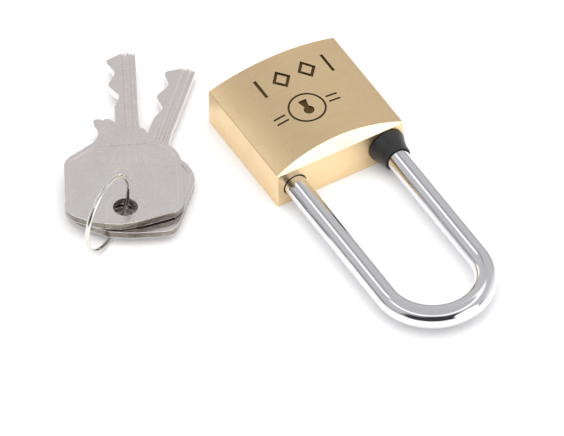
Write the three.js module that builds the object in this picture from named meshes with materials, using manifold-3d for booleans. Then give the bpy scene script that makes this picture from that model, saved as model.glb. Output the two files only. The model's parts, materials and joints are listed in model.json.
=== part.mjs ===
// A brass padlock with a long chrome-plated shackle, and its two keys on a wire ring.
// Millimetres, +Z up. The lock lies on its flat back. The origin is the centre of that back,
// +Y points to the shackle's bend and +Z comes out of the crowned front.
// The lock is shut and unlocked: the plug is turned a quarter and the balls are drawn in.

import * as THREE from "three";
import { mergeVertices } from "three/addons/utils/BufferGeometryUtils.js";
import Module from "manifold-3d";

const wasm = await Module();
wasm.setup();

// ---- Driving dimensions ----

// Body
const BODY_WIDTH = 40;
const BODY_HEIGHT = 37.4;
const SIDE_DEPTH = 12.1;
const CROWN = 3.2;
const CHAMFER_RUN = 2.15;
const CHAMFER_DROP = 0.3;

// Shackle
const BAR_RADIUS = 3.3;
const LEG_SPACING = 29;
const CLEAR_HEIGHT = 60;
const BAR_AXIS_Z = 6;
const TOE_DEPTH = 12.2;
const HEEL_SHOULDER_DEPTH = 10.4;
const HEEL_HOLE_FLOOR = 1.9;
const SPRING_ROOM = 7.6;
const NECK_RADIUS = 1.95;
const FLANGE_LENGTH = 2;

// Collar on the heel leg
const COLLAR_LENGTH = 6;
const COLLAR_FOOT_WALL = 2.1;
const COLLAR_LIP_WALL = 0.65;
const COLLAR_LIP_LENGTH = 0.5;
const COLLAR_WAIST = 0.25;

// Cylinder
const PLUG_RADIUS = 5;
const PLUG_BACK_WALL = 1.1;
const PLUG_RECESS = 0.2;
const KEYWAY_HEIGHT = 8.4;
const TONGUE_LENGTH = 1.6;
const TONGUE_WIDTH = 1.8;
const TONGUE_HEIGHT = 5.6;
const RETAINER_RADIUS = 0.7;
const RETAINER_LENGTH = 10;
const RETAINER_FROM_END = 1.3;
const GROOVE_DEPTH = 1.2;

// Locking cam and balls
const CAM_SHORTER_THAN_BALL = 1.5;
const CAM_SLOT_DEPTH = 2;
const CAM_SIDES = 60;
const CAM_HOLD_UNTIL = 0.56 * Math.PI;
const CAM_DROP_UNTIL = 0.7 * Math.PI;
const BALL_RADIUS = 3.5;
const BALL_DEPTH = 6.2;
const BALL_TRAVEL = 1.3;
const QUARTER_TURN = Math.PI / 2;

// Pins
const PIN_COUNT = 5;
const FIRST_PIN_DEPTH = 4.2;
const LAST_PIN_FROM_END = 5.6;
const CHAMBER_RADIUS = 1.5;
const PIN_RADIUS = 1.25;
const DRIVER_LENGTH = 3.7;
const KEY_PIN_POINT = 0.5;
const KEY_PIN_TIP_RADIUS = 0.3;
const KEY_PIN_HOLE_DEPTH = 5;
const CHAMBER_PLUG_LENGTH = 2.8;

// Springs
const SHACKLE_SPRING_WIRE = 0.35;
const SHACKLE_SPRING_RADIUS = 2.4;
const SHACKLE_SPRING_TURNS = 5;
const PIN_SPRING_WIRE = 0.17;
const PIN_SPRING_RADIUS = 0.95;
const PIN_SPRING_TURNS = 5;

// Heel stop pin
const STOP_PIN_RADIUS = 1;
const STOP_PIN_LENGTH = 11;

// Keys
const KEY_THICKNESS = 2.2;
const KEY_HOLE_RADIUS = 3.4;
const BOW_LEFT = 16.3;
const BOW_RIGHT = -15.9;
const BOW_TAIL = -6.7;
const NECK_START = 24.9;
const BIT_STOP = 34;
const STUB_EDGE = 7.7;
const BLADE_BACK = -4.65;
const BLADE_ROOT = 1.7;
const BLADE_GROOVE_DEPTH = 0.6;
const UPPER_GROOVES = [
  [-4, -3.2],
  [-2.6, -1.5],
];
const LOWER_GROOVES = [[-0.9, 0.1]];
const TIP_RAMP = -0.9;
const TIP_BEVEL = 0.8;
const SLIT_DEPTH = 1.5;
const STOP_NOTCH_PLACE = 5.1;
const STOP_NOTCH_HALF = 0.6;
const CUT_LEVELS = [1.7, 0.4, 3.1, 1.3, 3.4];
const CUT_FLAT = 1.1;

// Key ring
const RING_RADIUS = 11.05;
const RING_WIRE = 0.65;
const RING_GAP = 0.8;

// Clearances
const BAR_GAP = 0.3;
const PLUG_GAP = 0.3;
const BALL_GAP = 0.2;
const CHAMBER_PLUG_GAP = 0.08;
const PIN_FIT = 0.15;
const END_GAP = 0.3;
const KEY_GAP = 0.3;
const KEYWAY_SIDE_GAP = 0.2;
const KEYWAY_BACK_GAP = 0.05;
const OVERCUT = 1;

// Where the keys and their ring lie beside the lock
const KEY_HOLE_X = 59.1;
const KEY_HOLE_Y = 3.3;
const REAR_KEY_HOLE_X = 60.6;
const REAR_KEY_HOLE_Y = 3.7;
const FRONT_KEY_HEADING = 241.9;
const REAR_KEY_HEADING = 224.3;
const KEY_SLOPE = 1.75;
const KEY_SLOPE_HEADING = 232.7;
const KEYS_LIFTED = 2.85;
const RING_X = 66.4;
const RING_Y = 6.5;
const RING_HEADING = 29.3;
const RING_GAP_ANGLE = -62;

// Facets
const ROUND_SIDES = 32;
const PIN_SIDES = 20;
const COIL_SIDES = 6;
const COIL_STEPS_PER_TURN = 9;

// ---- Places worked out from the dimensions ----

const NEAR_END = BODY_HEIGHT / 2;
const FAR_END = -NEAR_END;
const LEG_X = LEG_SPACING / 2;
const BEND_Y = NEAR_END + CLEAR_HEIGHT + BAR_RADIUS - LEG_X;
const HOLE_RADIUS = BAR_RADIUS + BAR_GAP;
const TOE_END = NEAR_END - TOE_DEPTH;
const HEEL_SHOULDER = NEAR_END - HEEL_SHOULDER_DEPTH;
const HEEL_HOLE_END = FAR_END + HEEL_HOLE_FLOOR;
const HEEL_END = HEEL_HOLE_END + SPRING_ROOM;
const BORE_RADIUS = PLUG_RADIUS + PLUG_GAP;
const PLUG_AXIS_Z = PLUG_BACK_WALL + BORE_RADIUS;
const BALL_Y = NEAR_END - BALL_DEPTH;
const CAM_LENGTH = 2 * BALL_RADIUS - CAM_SHORTER_THAN_BALL;
const CAM_START = BALL_Y - CAM_LENGTH / 2;
const CAM_END = CAM_START + CAM_LENGTH;
const BORE_END = CAM_END + END_GAP;
const PLUG_START = FAR_END + PLUG_RECESS;
const PLUG_END = CAM_START - END_GAP;
const BALL_Z = (PLUG_AXIS_Z + BAR_AXIS_Z) / 2;
const BALL_DRAWN_IN = LEG_X - BAR_RADIUS - BALL_RADIUS - BALL_GAP * 2;
const BALL_OUT = BALL_DRAWN_IN + BALL_TRAVEL;
const CAM_SMALL_RADIUS = BALL_DRAWN_IN - BALL_RADIUS - BALL_GAP;
const RETAINER_Y = PLUG_END - RETAINER_FROM_END;
const GROOVE_HALF = RETAINER_RADIUS + PIN_FIT;
const KEYWAY_END = RETAINER_Y - GROOVE_HALF - END_GAP;
const KEYWAY_WIDTH = KEY_THICKNESS + 2 * KEYWAY_SIDE_GAP;
const KEY_REACH = BIT_STOP + KEYWAY_END - PLUG_START;
const STOP_PIN_X = -LEG_X + NECK_RADIUS + BALL_GAP + STOP_PIN_RADIUS;
const STOP_PIN_Y = HEEL_SHOULDER - END_GAP - STOP_PIN_RADIUS;
const SIDE_X = BODY_WIDTH / 2;
const DRIVER_START = PLUG_RADIUS + PIN_FIT;
const DRIVER_END = DRIVER_START + DRIVER_LENGTH;
const CHAMBER_PLUG_START = SIDE_X - CHAMBER_PLUG_LENGTH;

// ---- Solids ----

const X_AXIS = new THREE.Vector3(1, 0, 0);
const Y_AXIS = new THREE.Vector3(0, 1, 0);
const Z_AXIS = new THREE.Vector3(0, 0, 1);
const FULL_TURN = 2 * Math.PI;

// Turns a closed geometry into a solid that can be joined and cut.
function solid(geometry) {
  const bare = geometry.index ? geometry.toNonIndexed() : geometry.clone();
  bare.deleteAttribute("normal");
  bare.deleteAttribute("uv");
  const merged = mergeVertices(bare, 1e-4);
  const corners = Array.from(merged.index.array);
  const kept = [];
  for (let i = 0; i < corners.length; i += 3) {
    const [a, b, c] = corners.slice(i, i + 3);
    if (a !== b && b !== c && c !== a) kept.push(a, b, c);
  }
  return new wasm.Manifold(
    new wasm.Mesh({
      numProp: 3,
      vertProperties: merged.attributes.position.array,
      triVerts: new Uint32Array(kept),
    }),
  );
}

// Gives a solid's faces back as a geometry with flat normals.
function geometryOf(shape) {
  const mesh = shape.getMesh();
  const geometry = new THREE.BufferGeometry();
  geometry.setAttribute("position", new THREE.BufferAttribute(new Float32Array(mesh.vertProperties), 3));
  geometry.setIndex(new THREE.BufferAttribute(new Uint32Array(mesh.triVerts), 1));
  const flat = geometry.toNonIndexed();
  flat.computeVertexNormals();
  return flat;
}

// A round bar along Y from start to end, at (x, z).
function barY(radius, start, end, x, z, sides = ROUND_SIDES) {
  const geometry = new THREE.CylinderGeometry(radius, radius, end - start, sides);
  return solid(geometry.translate(x, (start + end) / 2, z));
}

// A round bar along X from start to end, at (y, z).
function barX(radius, start, end, y, z, sides = ROUND_SIDES) {
  const geometry = new THREE.CylinderGeometry(radius, radius, end - start, sides);
  return solid(geometry.rotateZ(-QUARTER_TURN).translate((start + end) / 2, y, z));
}

// A round bar along Z from start to end, at (x, y).
function barZ(radius, start, end, x, y, sides = ROUND_SIDES) {
  const geometry = new THREE.CylinderGeometry(radius, radius, end - start, sides);
  return solid(geometry.rotateX(QUARTER_TURN).translate(x, y, (start + end) / 2));
}

// A block from its lowest to its highest corner.
function block(low, high) {
  const geometry = new THREE.BoxGeometry(high[0] - low[0], high[1] - low[1], high[2] - low[2]);
  const middle = low.map((value, i) => (value + high[i]) / 2);
  return solid(geometry.translate(...middle));
}

// An outline in X and Z, carried along Y from start to end.
function prismAlongY(outline, start, end, curveSegments = 16) {
  const options = { depth: end - start, bevelEnabled: false, curveSegments };
  const geometry = new THREE.ExtrudeGeometry(outline, options);
  const turn = new THREE.Matrix4().makeBasis(X_AXIS, Z_AXIS, Y_AXIS.clone().negate());
  return solid(geometry.applyMatrix4(turn).translate(0, end, 0));
}

// An outline in Y and Z, carried along X across the whole body.
function prismAlongX(outline) {
  const span = BODY_WIDTH + 2 * OVERCUT;
  const geometry = new THREE.ExtrudeGeometry(outline, { depth: span, bevelEnabled: false });
  const turn = new THREE.Matrix4().makeBasis(Y_AXIS, Z_AXIS, X_AXIS);
  return solid(geometry.applyMatrix4(turn).translate(-span / 2, 0, 0));
}

// A profile of [radius, height] points turned round Y.
function turnedY(profile, sides = ROUND_SIDES) {
  const points = profile.map(([radius, height]) => new THREE.Vector2(radius, height));
  return solid(new THREE.LatheGeometry(points, sides));
}

// A wire or bar of round section that follows a curve.
function tube(path, radius, steps, sides) {
  const section = new THREE.Shape().absarc(0, 0, radius, 0, FULL_TURN);
  const options = { extrudePath: path, steps, curveSegments: sides / 2, bevelEnabled: false };
  return solid(new THREE.ExtrudeGeometry(section, options));
}

// A straight-sided outline through [x, y] points.
function outlineOf(points) {
  return new THREE.Shape(points.map(([x, y]) => new THREE.Vector2(x, y)));
}

// ---- Finishes ----

const finish = (color, metalness, roughness) => ({ color, metalness, roughness });
const BRASS = finish(0xd9bc82, 1, 0.35);
const PLUG_BRASS = finish(0xcfae6c, 1, 0.3);
const CHROME = finish(0xd6d6dc, 1, 0.06);
const NICKEL = finish(0xcfc7c3, 1, 0.25);
const STEEL = finish(0xa8aaad, 1, 0.3);
const BLACK_PLASTIC = finish(0x222222, 0, 0.5);

const padlock = new THREE.Group();

// Adds a solid to the model as one named piece.
function add(name, shape, look, parent = padlock) {
  const mesh = new THREE.Mesh(geometryOf(shape), new THREE.MeshStandardMaterial(look));
  mesh.name = name;
  parent.add(mesh);
  return mesh;
}

// The places of the pins along the cylinder, from the keyway's face inwards.
const FIRST_PIN_Y = FAR_END + FIRST_PIN_DEPTH;
const PIN_PITCH = (PLUG_END - LAST_PIN_FROM_END - FIRST_PIN_Y) / (PIN_COUNT - 1);
const PIN_PLACES = Array.from({ length: PIN_COUNT }, (_, i) => FIRST_PIN_Y + i * PIN_PITCH);

// ---- Body ----

// The body's section: flat back, upright sides and a front crowned across its width.
function bodySection() {
  const crownRadius = (SIDE_X ** 2 + CROWN ** 2) / (2 * CROWN);
  const centreZ = SIDE_DEPTH + CROWN - crownRadius;
  const half = Math.asin(SIDE_X / crownRadius);
  const section = new THREE.Shape();
  section.moveTo(-SIDE_X, 0);
  section.lineTo(SIDE_X, 0);
  section.absarc(0, centreZ, crownRadius, QUARTER_TURN - half, QUARTER_TURN + half, false);
  section.lineTo(-SIDE_X, 0);
  return section;
}

// The slope that takes the crown down to the shackle's end face.
function chamferCut() {
  const low = SIDE_DEPTH - CHAMFER_DROP;
  const above = low + 2 * (CROWN + CHAMFER_DROP);
  const outside = NEAR_END + CHAMFER_RUN;
  return prismAlongX(
    outlineOf([
      [NEAR_END, low],
      [outside, low],
      [outside, above],
      [NEAR_END - 2 * CHAMFER_RUN, above],
    ]),
  );
}

function lockBody() {
  let body = prismAlongY(bodySection(), FAR_END, NEAR_END);
  const topOut = NEAR_END + OVERCUT;
  const sideOut = SIDE_X + OVERCUT;
  const retainerHole = RETAINER_RADIUS + PIN_FIT;
  const retainerEnd = RETAINER_LENGTH + END_GAP;
  const stopPinHole = STOP_PIN_RADIUS + PIN_FIT;
  const stopPinEnd = STOP_PIN_LENGTH + END_GAP;
  const cuts = [
    chamferCut(),
    barY(HOLE_RADIUS, TOE_END - END_GAP, topOut, LEG_X, BAR_AXIS_Z),
    barY(HOLE_RADIUS, HEEL_HOLE_END, topOut, -LEG_X, BAR_AXIS_Z),
    barY(BORE_RADIUS, FAR_END - OVERCUT, BORE_END, 0, PLUG_AXIS_Z),
    barX(BALL_RADIUS + BALL_GAP, -LEG_X, LEG_X, BALL_Y, BALL_Z),
    barZ(retainerHole, -OVERCUT, retainerEnd, PLUG_RADIUS, RETAINER_Y, PIN_SIDES),
    barZ(stopPinHole, -OVERCUT, stopPinEnd, STOP_PIN_X, STOP_PIN_Y, PIN_SIDES),
  ];
  for (const y of PIN_PLACES) {
    cuts.push(barX(CHAMBER_RADIUS, 0, sideOut, y, PLUG_AXIS_Z, PIN_SIDES));
  }
  for (const cut of cuts) body = body.subtract(cut);
  return body;
}

add("lock_body", lockBody(), BRASS);

// ---- Shackle ----

// The middle line of the shackle: up the toe leg, round the bend and down the heel leg.
class ShackleLine extends THREE.Curve {
  constructor() {
    super();
    this.toeRun = BEND_Y - TOE_END;
    this.bendRun = Math.PI * LEG_X;
    this.heelRun = BEND_Y - HEEL_SHOULDER;
  }
  getPoint(t, target = new THREE.Vector3()) {
    const run = t * (this.toeRun + this.bendRun + this.heelRun);
    if (run < this.toeRun) return target.set(LEG_X, TOE_END + run, BAR_AXIS_Z);
    const turned = (run - this.toeRun) / LEG_X;
    if (turned > Math.PI) {
      const left = run - this.toeRun - this.bendRun;
      return target.set(-LEG_X, BEND_Y - left, BAR_AXIS_Z);
    }
    return target.set(LEG_X * Math.cos(turned), BEND_Y + LEG_X * Math.sin(turned), BAR_AXIS_Z);
  }
}

// The ball that locks a leg, grown by its clearance, cuts the leg's notch.
function ballNotch(side) {
  const ball = new THREE.SphereGeometry(BALL_RADIUS + BALL_GAP, PIN_SIDES, PIN_SIDES / 2);
  return solid(ball.translate(side * BALL_OUT, BALL_Y, BALL_Z));
}

// The thin neck below the heel's shoulder, with the flange that the stop pin catches.
function heelNeck() {
  const bevel = 0.4;
  const neck = turnedY([
    [0, HEEL_END],
    [BAR_RADIUS - bevel, HEEL_END],
    [BAR_RADIUS, HEEL_END + bevel],
    [BAR_RADIUS, HEEL_END + FLANGE_LENGTH],
    [NECK_RADIUS, HEEL_END + FLANGE_LENGTH],
    [NECK_RADIUS, HEEL_SHOULDER + OVERCUT],
    [0, HEEL_SHOULDER + OVERCUT],
  ]);
  return neck.translate([-LEG_X, 0, BAR_AXIS_Z]);
}

const BAR_STEPS = 72;
const BAR_SIDES = 20;
const bar = tube(new ShackleLine(), BAR_RADIUS, BAR_STEPS, BAR_SIDES);
add("shackle", bar.add(heelNeck()).subtract(ballNotch(1)).subtract(ballNotch(-1)), CHROME);

// The plastic collar is a cone on the heel leg with a waisted flank and a thin lip.
function collar() {
  const foot = NEAR_END + PIN_FIT;
  const lip = foot + COLLAR_LENGTH;
  const flankEnd = lip - COLLAR_LIP_LENGTH;
  const inner = BAR_RADIUS + PIN_FIT;
  const footRadius = BAR_RADIUS + COLLAR_FOOT_WALL;
  const lipRadius = BAR_RADIUS + COLLAR_LIP_WALL;
  const middle = (footRadius + lipRadius) / 2 - COLLAR_WAIST;
  const cone = turnedY([
    [inner, foot],
    [footRadius, foot],
    [middle, (foot + flankEnd) / 2],
    [lipRadius, flankEnd],
    [lipRadius, lip],
    [inner, lip],
    [inner, foot],
  ]);
  return cone.translate([-LEG_X, 0, BAR_AXIS_Z]);
}

add("shackle_collar", collar(), BLACK_PLASTIC);
add(
  "heel_stop_pin",
  barZ(STOP_PIN_RADIUS, 0, STOP_PIN_LENGTH, STOP_PIN_X, STOP_PIN_Y, PIN_SIDES),
  STEEL,
);

// A coil that runs along +Y from zero to its length.
class Coil extends THREE.Curve {
  constructor(radius, length, turns) {
    super();
    Object.assign(this, { radius, length, turns });
  }
  getPoint(t, target = new THREE.Vector3()) {
    const angle = t * this.turns * FULL_TURN;
    return target.set(this.radius * Math.cos(angle), t * this.length, this.radius * Math.sin(angle));
  }
}

// A coil spring along +Y between two heights, centred on the axis.
function coilSpring(start, end, radius, wire, turns) {
  const coil = new Coil(radius, end - start - 2 * wire, turns);
  const spring = tube(coil, wire, turns * COIL_STEPS_PER_TURN, COIL_SIDES);
  return spring.translate([0, start + wire, 0]);
}

const shackleSpring = coilSpring(
  HEEL_HOLE_END + END_GAP,
  HEEL_END - END_GAP,
  SHACKLE_SPRING_RADIUS,
  SHACKLE_SPRING_WIRE,
  SHACKLE_SPRING_TURNS,
);
add("shackle_spring", shackleSpring.translate([-LEG_X, 0, BAR_AXIS_Z]), STEEL);

// ---- Cylinder ----

function lockPlug() {
  let plug = barY(PLUG_RADIUS, PLUG_START, PLUG_END, 0, PLUG_AXIS_Z);
  const grooveStart = RETAINER_Y - GROOVE_HALF;
  const grooveEnd = RETAINER_Y + GROOVE_HALF;
  const around = barY(PLUG_RADIUS + OVERCUT, grooveStart, grooveEnd, 0, PLUG_AXIS_Z);
  const core = barY(PLUG_RADIUS - GROOVE_DEPTH, FAR_END, NEAR_END, 0, PLUG_AXIS_Z);
  plug = plug.subtract(around.subtract(core));
  const keyway = block(
    [-KEYWAY_WIDTH / 2, PLUG_START - OVERCUT, PLUG_AXIS_Z - KEYWAY_HEIGHT / 2],
    [KEYWAY_WIDTH / 2, KEYWAY_END, PLUG_AXIS_Z + KEYWAY_HEIGHT / 2],
  );
  plug = plug.subtract(keyway);
  const holeEnd = PLUG_AXIS_Z + PLUG_RADIUS - KEY_PIN_HOLE_DEPTH;
  for (const y of PIN_PLACES) {
    plug = plug.subtract(barZ(CHAMBER_RADIUS, holeEnd, holeEnd + 2 * PLUG_RADIUS, 0, y, PIN_SIDES));
  }
  const tongue = block(
    [-TONGUE_WIDTH / 2, PLUG_END - OVERCUT, PLUG_AXIS_Z - TONGUE_HEIGHT / 2],
    [TONGUE_WIDTH / 2, PLUG_END + TONGUE_LENGTH, PLUG_AXIS_Z + TONGUE_HEIGHT / 2],
  );
  return plug.add(tongue);
}

add("lock_plug", lockPlug(), PLUG_BRASS);
add(
  "plug_retaining_pin",
  barZ(RETAINER_RADIUS, 0, RETAINER_LENGTH, PLUG_RADIUS, RETAINER_Y, PIN_SIDES),
  STEEL,
);

// The cam's radius at an angle from +X towards +Z, the same again half a turn on.
// It grows through a quarter turn, holds a little, and drops back.
function camRadius(angle) {
  const turned = angle % Math.PI;
  if (turned <= QUARTER_TURN) return CAM_SMALL_RADIUS + (BALL_TRAVEL * turned) / QUARTER_TURN;
  if (turned <= CAM_HOLD_UNTIL) return CAM_SMALL_RADIUS + BALL_TRAVEL;
  if (turned >= CAM_DROP_UNTIL) return CAM_SMALL_RADIUS;
  const left = (CAM_DROP_UNTIL - turned) / (CAM_DROP_UNTIL - CAM_HOLD_UNTIL);
  return CAM_SMALL_RADIUS + BALL_TRAVEL * left;
}

function lockingCam() {
  const points = Array.from({ length: CAM_SIDES }, (_, i) => {
    const angle = (i / CAM_SIDES) * FULL_TURN;
    const radius = camRadius(angle);
    return [radius * Math.cos(angle), radius * Math.sin(angle)];
  });
  const cam = prismAlongY(outlineOf(points), CAM_START, CAM_END).translate([0, 0, PLUG_AXIS_Z]);
  const slot = block(
    [-TONGUE_WIDTH / 2 - END_GAP, CAM_START - OVERCUT, PLUG_AXIS_Z - TONGUE_HEIGHT / 2 - END_GAP],
    [TONGUE_WIDTH / 2 + END_GAP, CAM_START + CAM_SLOT_DEPTH, PLUG_AXIS_Z + TONGUE_HEIGHT / 2 + END_GAP],
  );
  return cam.subtract(slot);
}

add("locking_cam", lockingCam(), STEEL);

for (const [name, side] of [
  ["toe_ball", 1],
  ["heel_ball", -1],
]) {
  const ball = new THREE.SphereGeometry(BALL_RADIUS, PIN_SIDES, PIN_SIDES / 2);
  add(name, solid(ball.translate(side * BALL_DRAWN_IN, BALL_Y, BALL_Z)), STEEL);
}

// ---- Pin stacks ----

// A key pin stands in the plug with its head at the shear line and its point on its key cut.
function keyPin(cutLevel, y) {
  const cutFromAxis = cutLevel - BLADE_BACK + KEYWAY_BACK_GAP - KEYWAY_HEIGHT / 2;
  const length = PLUG_RADIUS - PIN_FIT - cutFromAxis;
  const pin = turnedY(
    [
      [0, -length],
      [KEY_PIN_TIP_RADIUS, -length],
      [PIN_RADIUS, KEY_PIN_POINT - length],
      [PIN_RADIUS, 0],
      [0, 0],
    ],
    PIN_SIDES,
  );
  return pin.rotate([90, 0, 0]).translate([0, y, PLUG_AXIS_Z + PLUG_RADIUS - PIN_FIT]);
}

PIN_PLACES.forEach((y, i) => {
  const number = i + 1;
  const spring = coilSpring(
    DRIVER_END + END_GAP,
    CHAMBER_PLUG_START - END_GAP,
    PIN_SPRING_RADIUS,
    PIN_SPRING_WIRE,
    PIN_SPRING_TURNS,
  );
  const stopper = barX(
    CHAMBER_RADIUS - CHAMBER_PLUG_GAP,
    CHAMBER_PLUG_START,
    SIDE_X,
    y,
    PLUG_AXIS_Z,
    PIN_SIDES,
  );
  add(`key_pin_${number}`, keyPin(CUT_LEVELS[i], y), PLUG_BRASS);
  add(`driver_pin_${number}`, barX(PIN_RADIUS, DRIVER_START, DRIVER_END, y, PLUG_AXIS_Z, PIN_SIDES), STEEL);
  add(`pin_spring_${number}`, spring.rotate([0, 0, -90]).translate([0, y, PLUG_AXIS_Z]), STEEL);
  add(`chamber_plug_${number}`, stopper, BRASS);
});

// ---- Keys ----

// The key lies along +X with its blade's cuts towards +Y. The ring hole is at the origin.
function keyOutline() {
  const outline = new THREE.Shape();
  outline.moveTo(BOW_TAIL, 1.5);
  outline.quadraticCurveTo(BOW_TAIL + 0.7, -5.5, BOW_TAIL + 3.3, -10.8);
  outline.lineTo(BOW_TAIL + 4.1, BOW_RIGHT + 3.1);
  outline.quadraticCurveTo(BOW_TAIL + 5.5, BOW_RIGHT, BOW_TAIL + 8.9, BOW_RIGHT);
  outline.lineTo(NECK_START - 7.9, BOW_RIGHT);
  outline.quadraticCurveTo(NECK_START - 4.3, BOW_RIGHT, NECK_START - 2.3, BOW_RIGHT + 2.1);
  outline.quadraticCurveTo(NECK_START, BOW_RIGHT + 4.5, NECK_START + 0.3, BOW_RIGHT + 6.7);
  outline.lineTo(NECK_START + 0.8, BLADE_BACK - 2.15);
  outline.quadraticCurveTo(NECK_START + 2.1, BLADE_BACK - 0.65, NECK_START + 5.1, BLADE_BACK - 0.3);
  outline.lineTo(BIT_STOP, BLADE_BACK);
  outline.lineTo(KEY_REACH - TIP_BEVEL, BLADE_BACK);
  outline.lineTo(KEY_REACH, BLADE_BACK + TIP_BEVEL);
  outline.lineTo(KEY_REACH, TIP_RAMP);
  for (let i = PIN_COUNT - 1; i >= 0; i--) {
    const cut = BIT_STOP + PIN_PLACES[i] - PLUG_START;
    outline.lineTo(Math.min(cut + CUT_FLAT / 2, KEY_REACH - TIP_BEVEL), CUT_LEVELS[i]);
    outline.lineTo(cut - CUT_FLAT / 2, CUT_LEVELS[i]);
  }
  outline.lineTo(BIT_STOP - SLIT_DEPTH, BLADE_ROOT);
  outline.lineTo(BIT_STOP, BLADE_ROOT + SLIT_DEPTH);
  outline.lineTo(BIT_STOP, STOP_NOTCH_PLACE - STOP_NOTCH_HALF);
  outline.lineTo(BIT_STOP - STOP_NOTCH_HALF, STOP_NOTCH_PLACE);
  outline.lineTo(BIT_STOP, STOP_NOTCH_PLACE + STOP_NOTCH_HALF);
  outline.lineTo(BIT_STOP, STUB_EDGE);
  outline.lineTo(BIT_STOP - 2, STUB_EDGE);
  outline.quadraticCurveTo(BIT_STOP - 5.4, STUB_EDGE - 1.5, NECK_START, STUB_EDGE + 0.45);
  outline.lineTo(NECK_START - 4.9, BOW_LEFT - 2.1);
  outline.quadraticCurveTo(NECK_START - 6.7, BOW_LEFT, NECK_START - 8.9, BOW_LEFT);
  outline.lineTo(BOW_TAIL + 7.7, BOW_LEFT);
  outline.quadraticCurveTo(BOW_TAIL + 4.7, BOW_LEFT, BOW_TAIL + 3.5, BOW_LEFT - 2.5);
  outline.quadraticCurveTo(BOW_TAIL + 0.5, BOW_LEFT - 8.8, BOW_TAIL, 1.5);
  outline.holes.push(new THREE.Path().absarc(0, 0, KEY_HOLE_RADIUS, 0, FULL_TURN, true));
  return outline;
}

// A milled groove along the blade, between two lines of the outline and two heights.
function bladeGroove([low, high], floor, top) {
  return block([NECK_START + 3, low, floor], [KEY_REACH + OVERCUT, high, top]);
}

function keySolid() {
  const options = { depth: KEY_THICKNESS, bevelEnabled: false, curveSegments: 6 };
  let key = solid(new THREE.ExtrudeGeometry(keyOutline(), options));
  const upperFloor = KEY_THICKNESS - BLADE_GROOVE_DEPTH;
  for (const lines of UPPER_GROOVES) {
    key = key.subtract(bladeGroove(lines, upperFloor, KEY_THICKNESS + OVERCUT));
  }
  for (const lines of LOWER_GROOVES) {
    key = key.subtract(bladeGroove(lines, -OVERCUT, BLADE_GROOVE_DEPTH));
  }
  return key;
}

// The two keys lie one on the other in a plane that falls gently from the ring to their tips.
const slopeHeading = THREE.MathUtils.degToRad(KEY_SLOPE_HEADING);
const slopeAxis = new THREE.Vector3(-Math.sin(slopeHeading), Math.cos(slopeHeading), 0);
const slopeTurn = new THREE.Quaternion().setFromAxisAngle(slopeAxis, THREE.MathUtils.degToRad(KEY_SLOPE));

function layKey(name, heading, x, y, height) {
  const place = new THREE.Group();
  place.position.set(x, y, height);
  const swing = new THREE.Quaternion().setFromAxisAngle(Z_AXIS, THREE.MathUtils.degToRad(heading));
  place.quaternion.copy(slopeTurn).multiply(swing);
  padlock.add(place);
  add(name, keySolid(), NICKEL, place);
}

const frontLift = KEYS_LIFTED + KEY_THICKNESS + KEY_GAP;
layKey("rear_key", REAR_KEY_HEADING, REAR_KEY_HOLE_X, REAR_KEY_HOLE_Y, KEYS_LIFTED);
layKey("front_key", FRONT_KEY_HEADING, KEY_HOLE_X, KEY_HOLE_Y, frontLift);

// The ring stands upright, threaded through both holes, with a small gap between its wire's ends.
class RingLine extends THREE.Curve {
  getPoint(t, target = new THREE.Vector3()) {
    const opening = RING_GAP / RING_RADIUS;
    const start = THREE.MathUtils.degToRad(RING_GAP_ANGLE) + opening / 2;
    const angle = start + t * (FULL_TURN - opening);
    return target.set(RING_RADIUS * Math.cos(angle), 0, RING_RADIUS * Math.sin(angle));
  }
}

const RING_STEPS = 64;
const RING_SIDES = 10;
const ringPlace = new THREE.Group();
ringPlace.position.set(RING_X, RING_Y, RING_RADIUS + RING_WIRE);
ringPlace.rotation.z = THREE.MathUtils.degToRad(RING_HEADING);
padlock.add(ringPlace);
add("key_ring", tube(new RingLine(), RING_WIRE, RING_STEPS, RING_SIDES), STEEL, ringPlace);

export default padlock;
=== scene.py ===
"""Looks of a brass padlock with a long chrome-plated shackle, and of its two keys on a wire ring.

Sizes are in millimetres while a piece is being made. Each piece becomes metres when it is finished.
The lock lies on its back: +Y points to the shackle's bend and +Z comes out of the crowned front.
"""

import json
import logging
import math
from dataclasses import dataclass
from enum import Enum

import bmesh
import bpy
from mathutils import Matrix, Quaternion, Vector

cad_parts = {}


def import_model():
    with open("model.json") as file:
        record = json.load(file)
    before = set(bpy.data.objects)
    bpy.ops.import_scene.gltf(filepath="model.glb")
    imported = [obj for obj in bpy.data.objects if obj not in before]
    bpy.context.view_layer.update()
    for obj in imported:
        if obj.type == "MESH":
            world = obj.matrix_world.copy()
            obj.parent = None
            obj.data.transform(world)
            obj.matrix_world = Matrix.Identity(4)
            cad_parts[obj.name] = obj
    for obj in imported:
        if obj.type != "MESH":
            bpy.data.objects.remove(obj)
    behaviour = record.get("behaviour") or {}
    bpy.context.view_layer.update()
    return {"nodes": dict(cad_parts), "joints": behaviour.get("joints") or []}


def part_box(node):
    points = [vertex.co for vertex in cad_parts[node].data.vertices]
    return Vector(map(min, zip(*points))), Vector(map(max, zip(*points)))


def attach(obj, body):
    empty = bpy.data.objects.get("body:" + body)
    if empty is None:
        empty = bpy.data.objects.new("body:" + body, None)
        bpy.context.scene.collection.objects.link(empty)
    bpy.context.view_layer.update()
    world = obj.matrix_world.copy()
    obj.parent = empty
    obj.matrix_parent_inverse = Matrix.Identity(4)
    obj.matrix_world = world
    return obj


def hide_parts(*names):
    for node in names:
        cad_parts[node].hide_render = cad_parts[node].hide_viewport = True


LOG = logging.getLogger("padlock")
MM = 0.001
FULL_TURN = 2 * math.pi
HALF_TURN = math.pi
QUARTER_TURN = math.pi / 2
ROUND_SIDES = 96
SMALL_SIDES = 48
WELD = 1e-4
SHARP_ANGLE = math.radians(30)
OVERCUT = 1.0
NOISE_LOW = 0.3
NOISE_HIGH = 0.7
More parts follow.
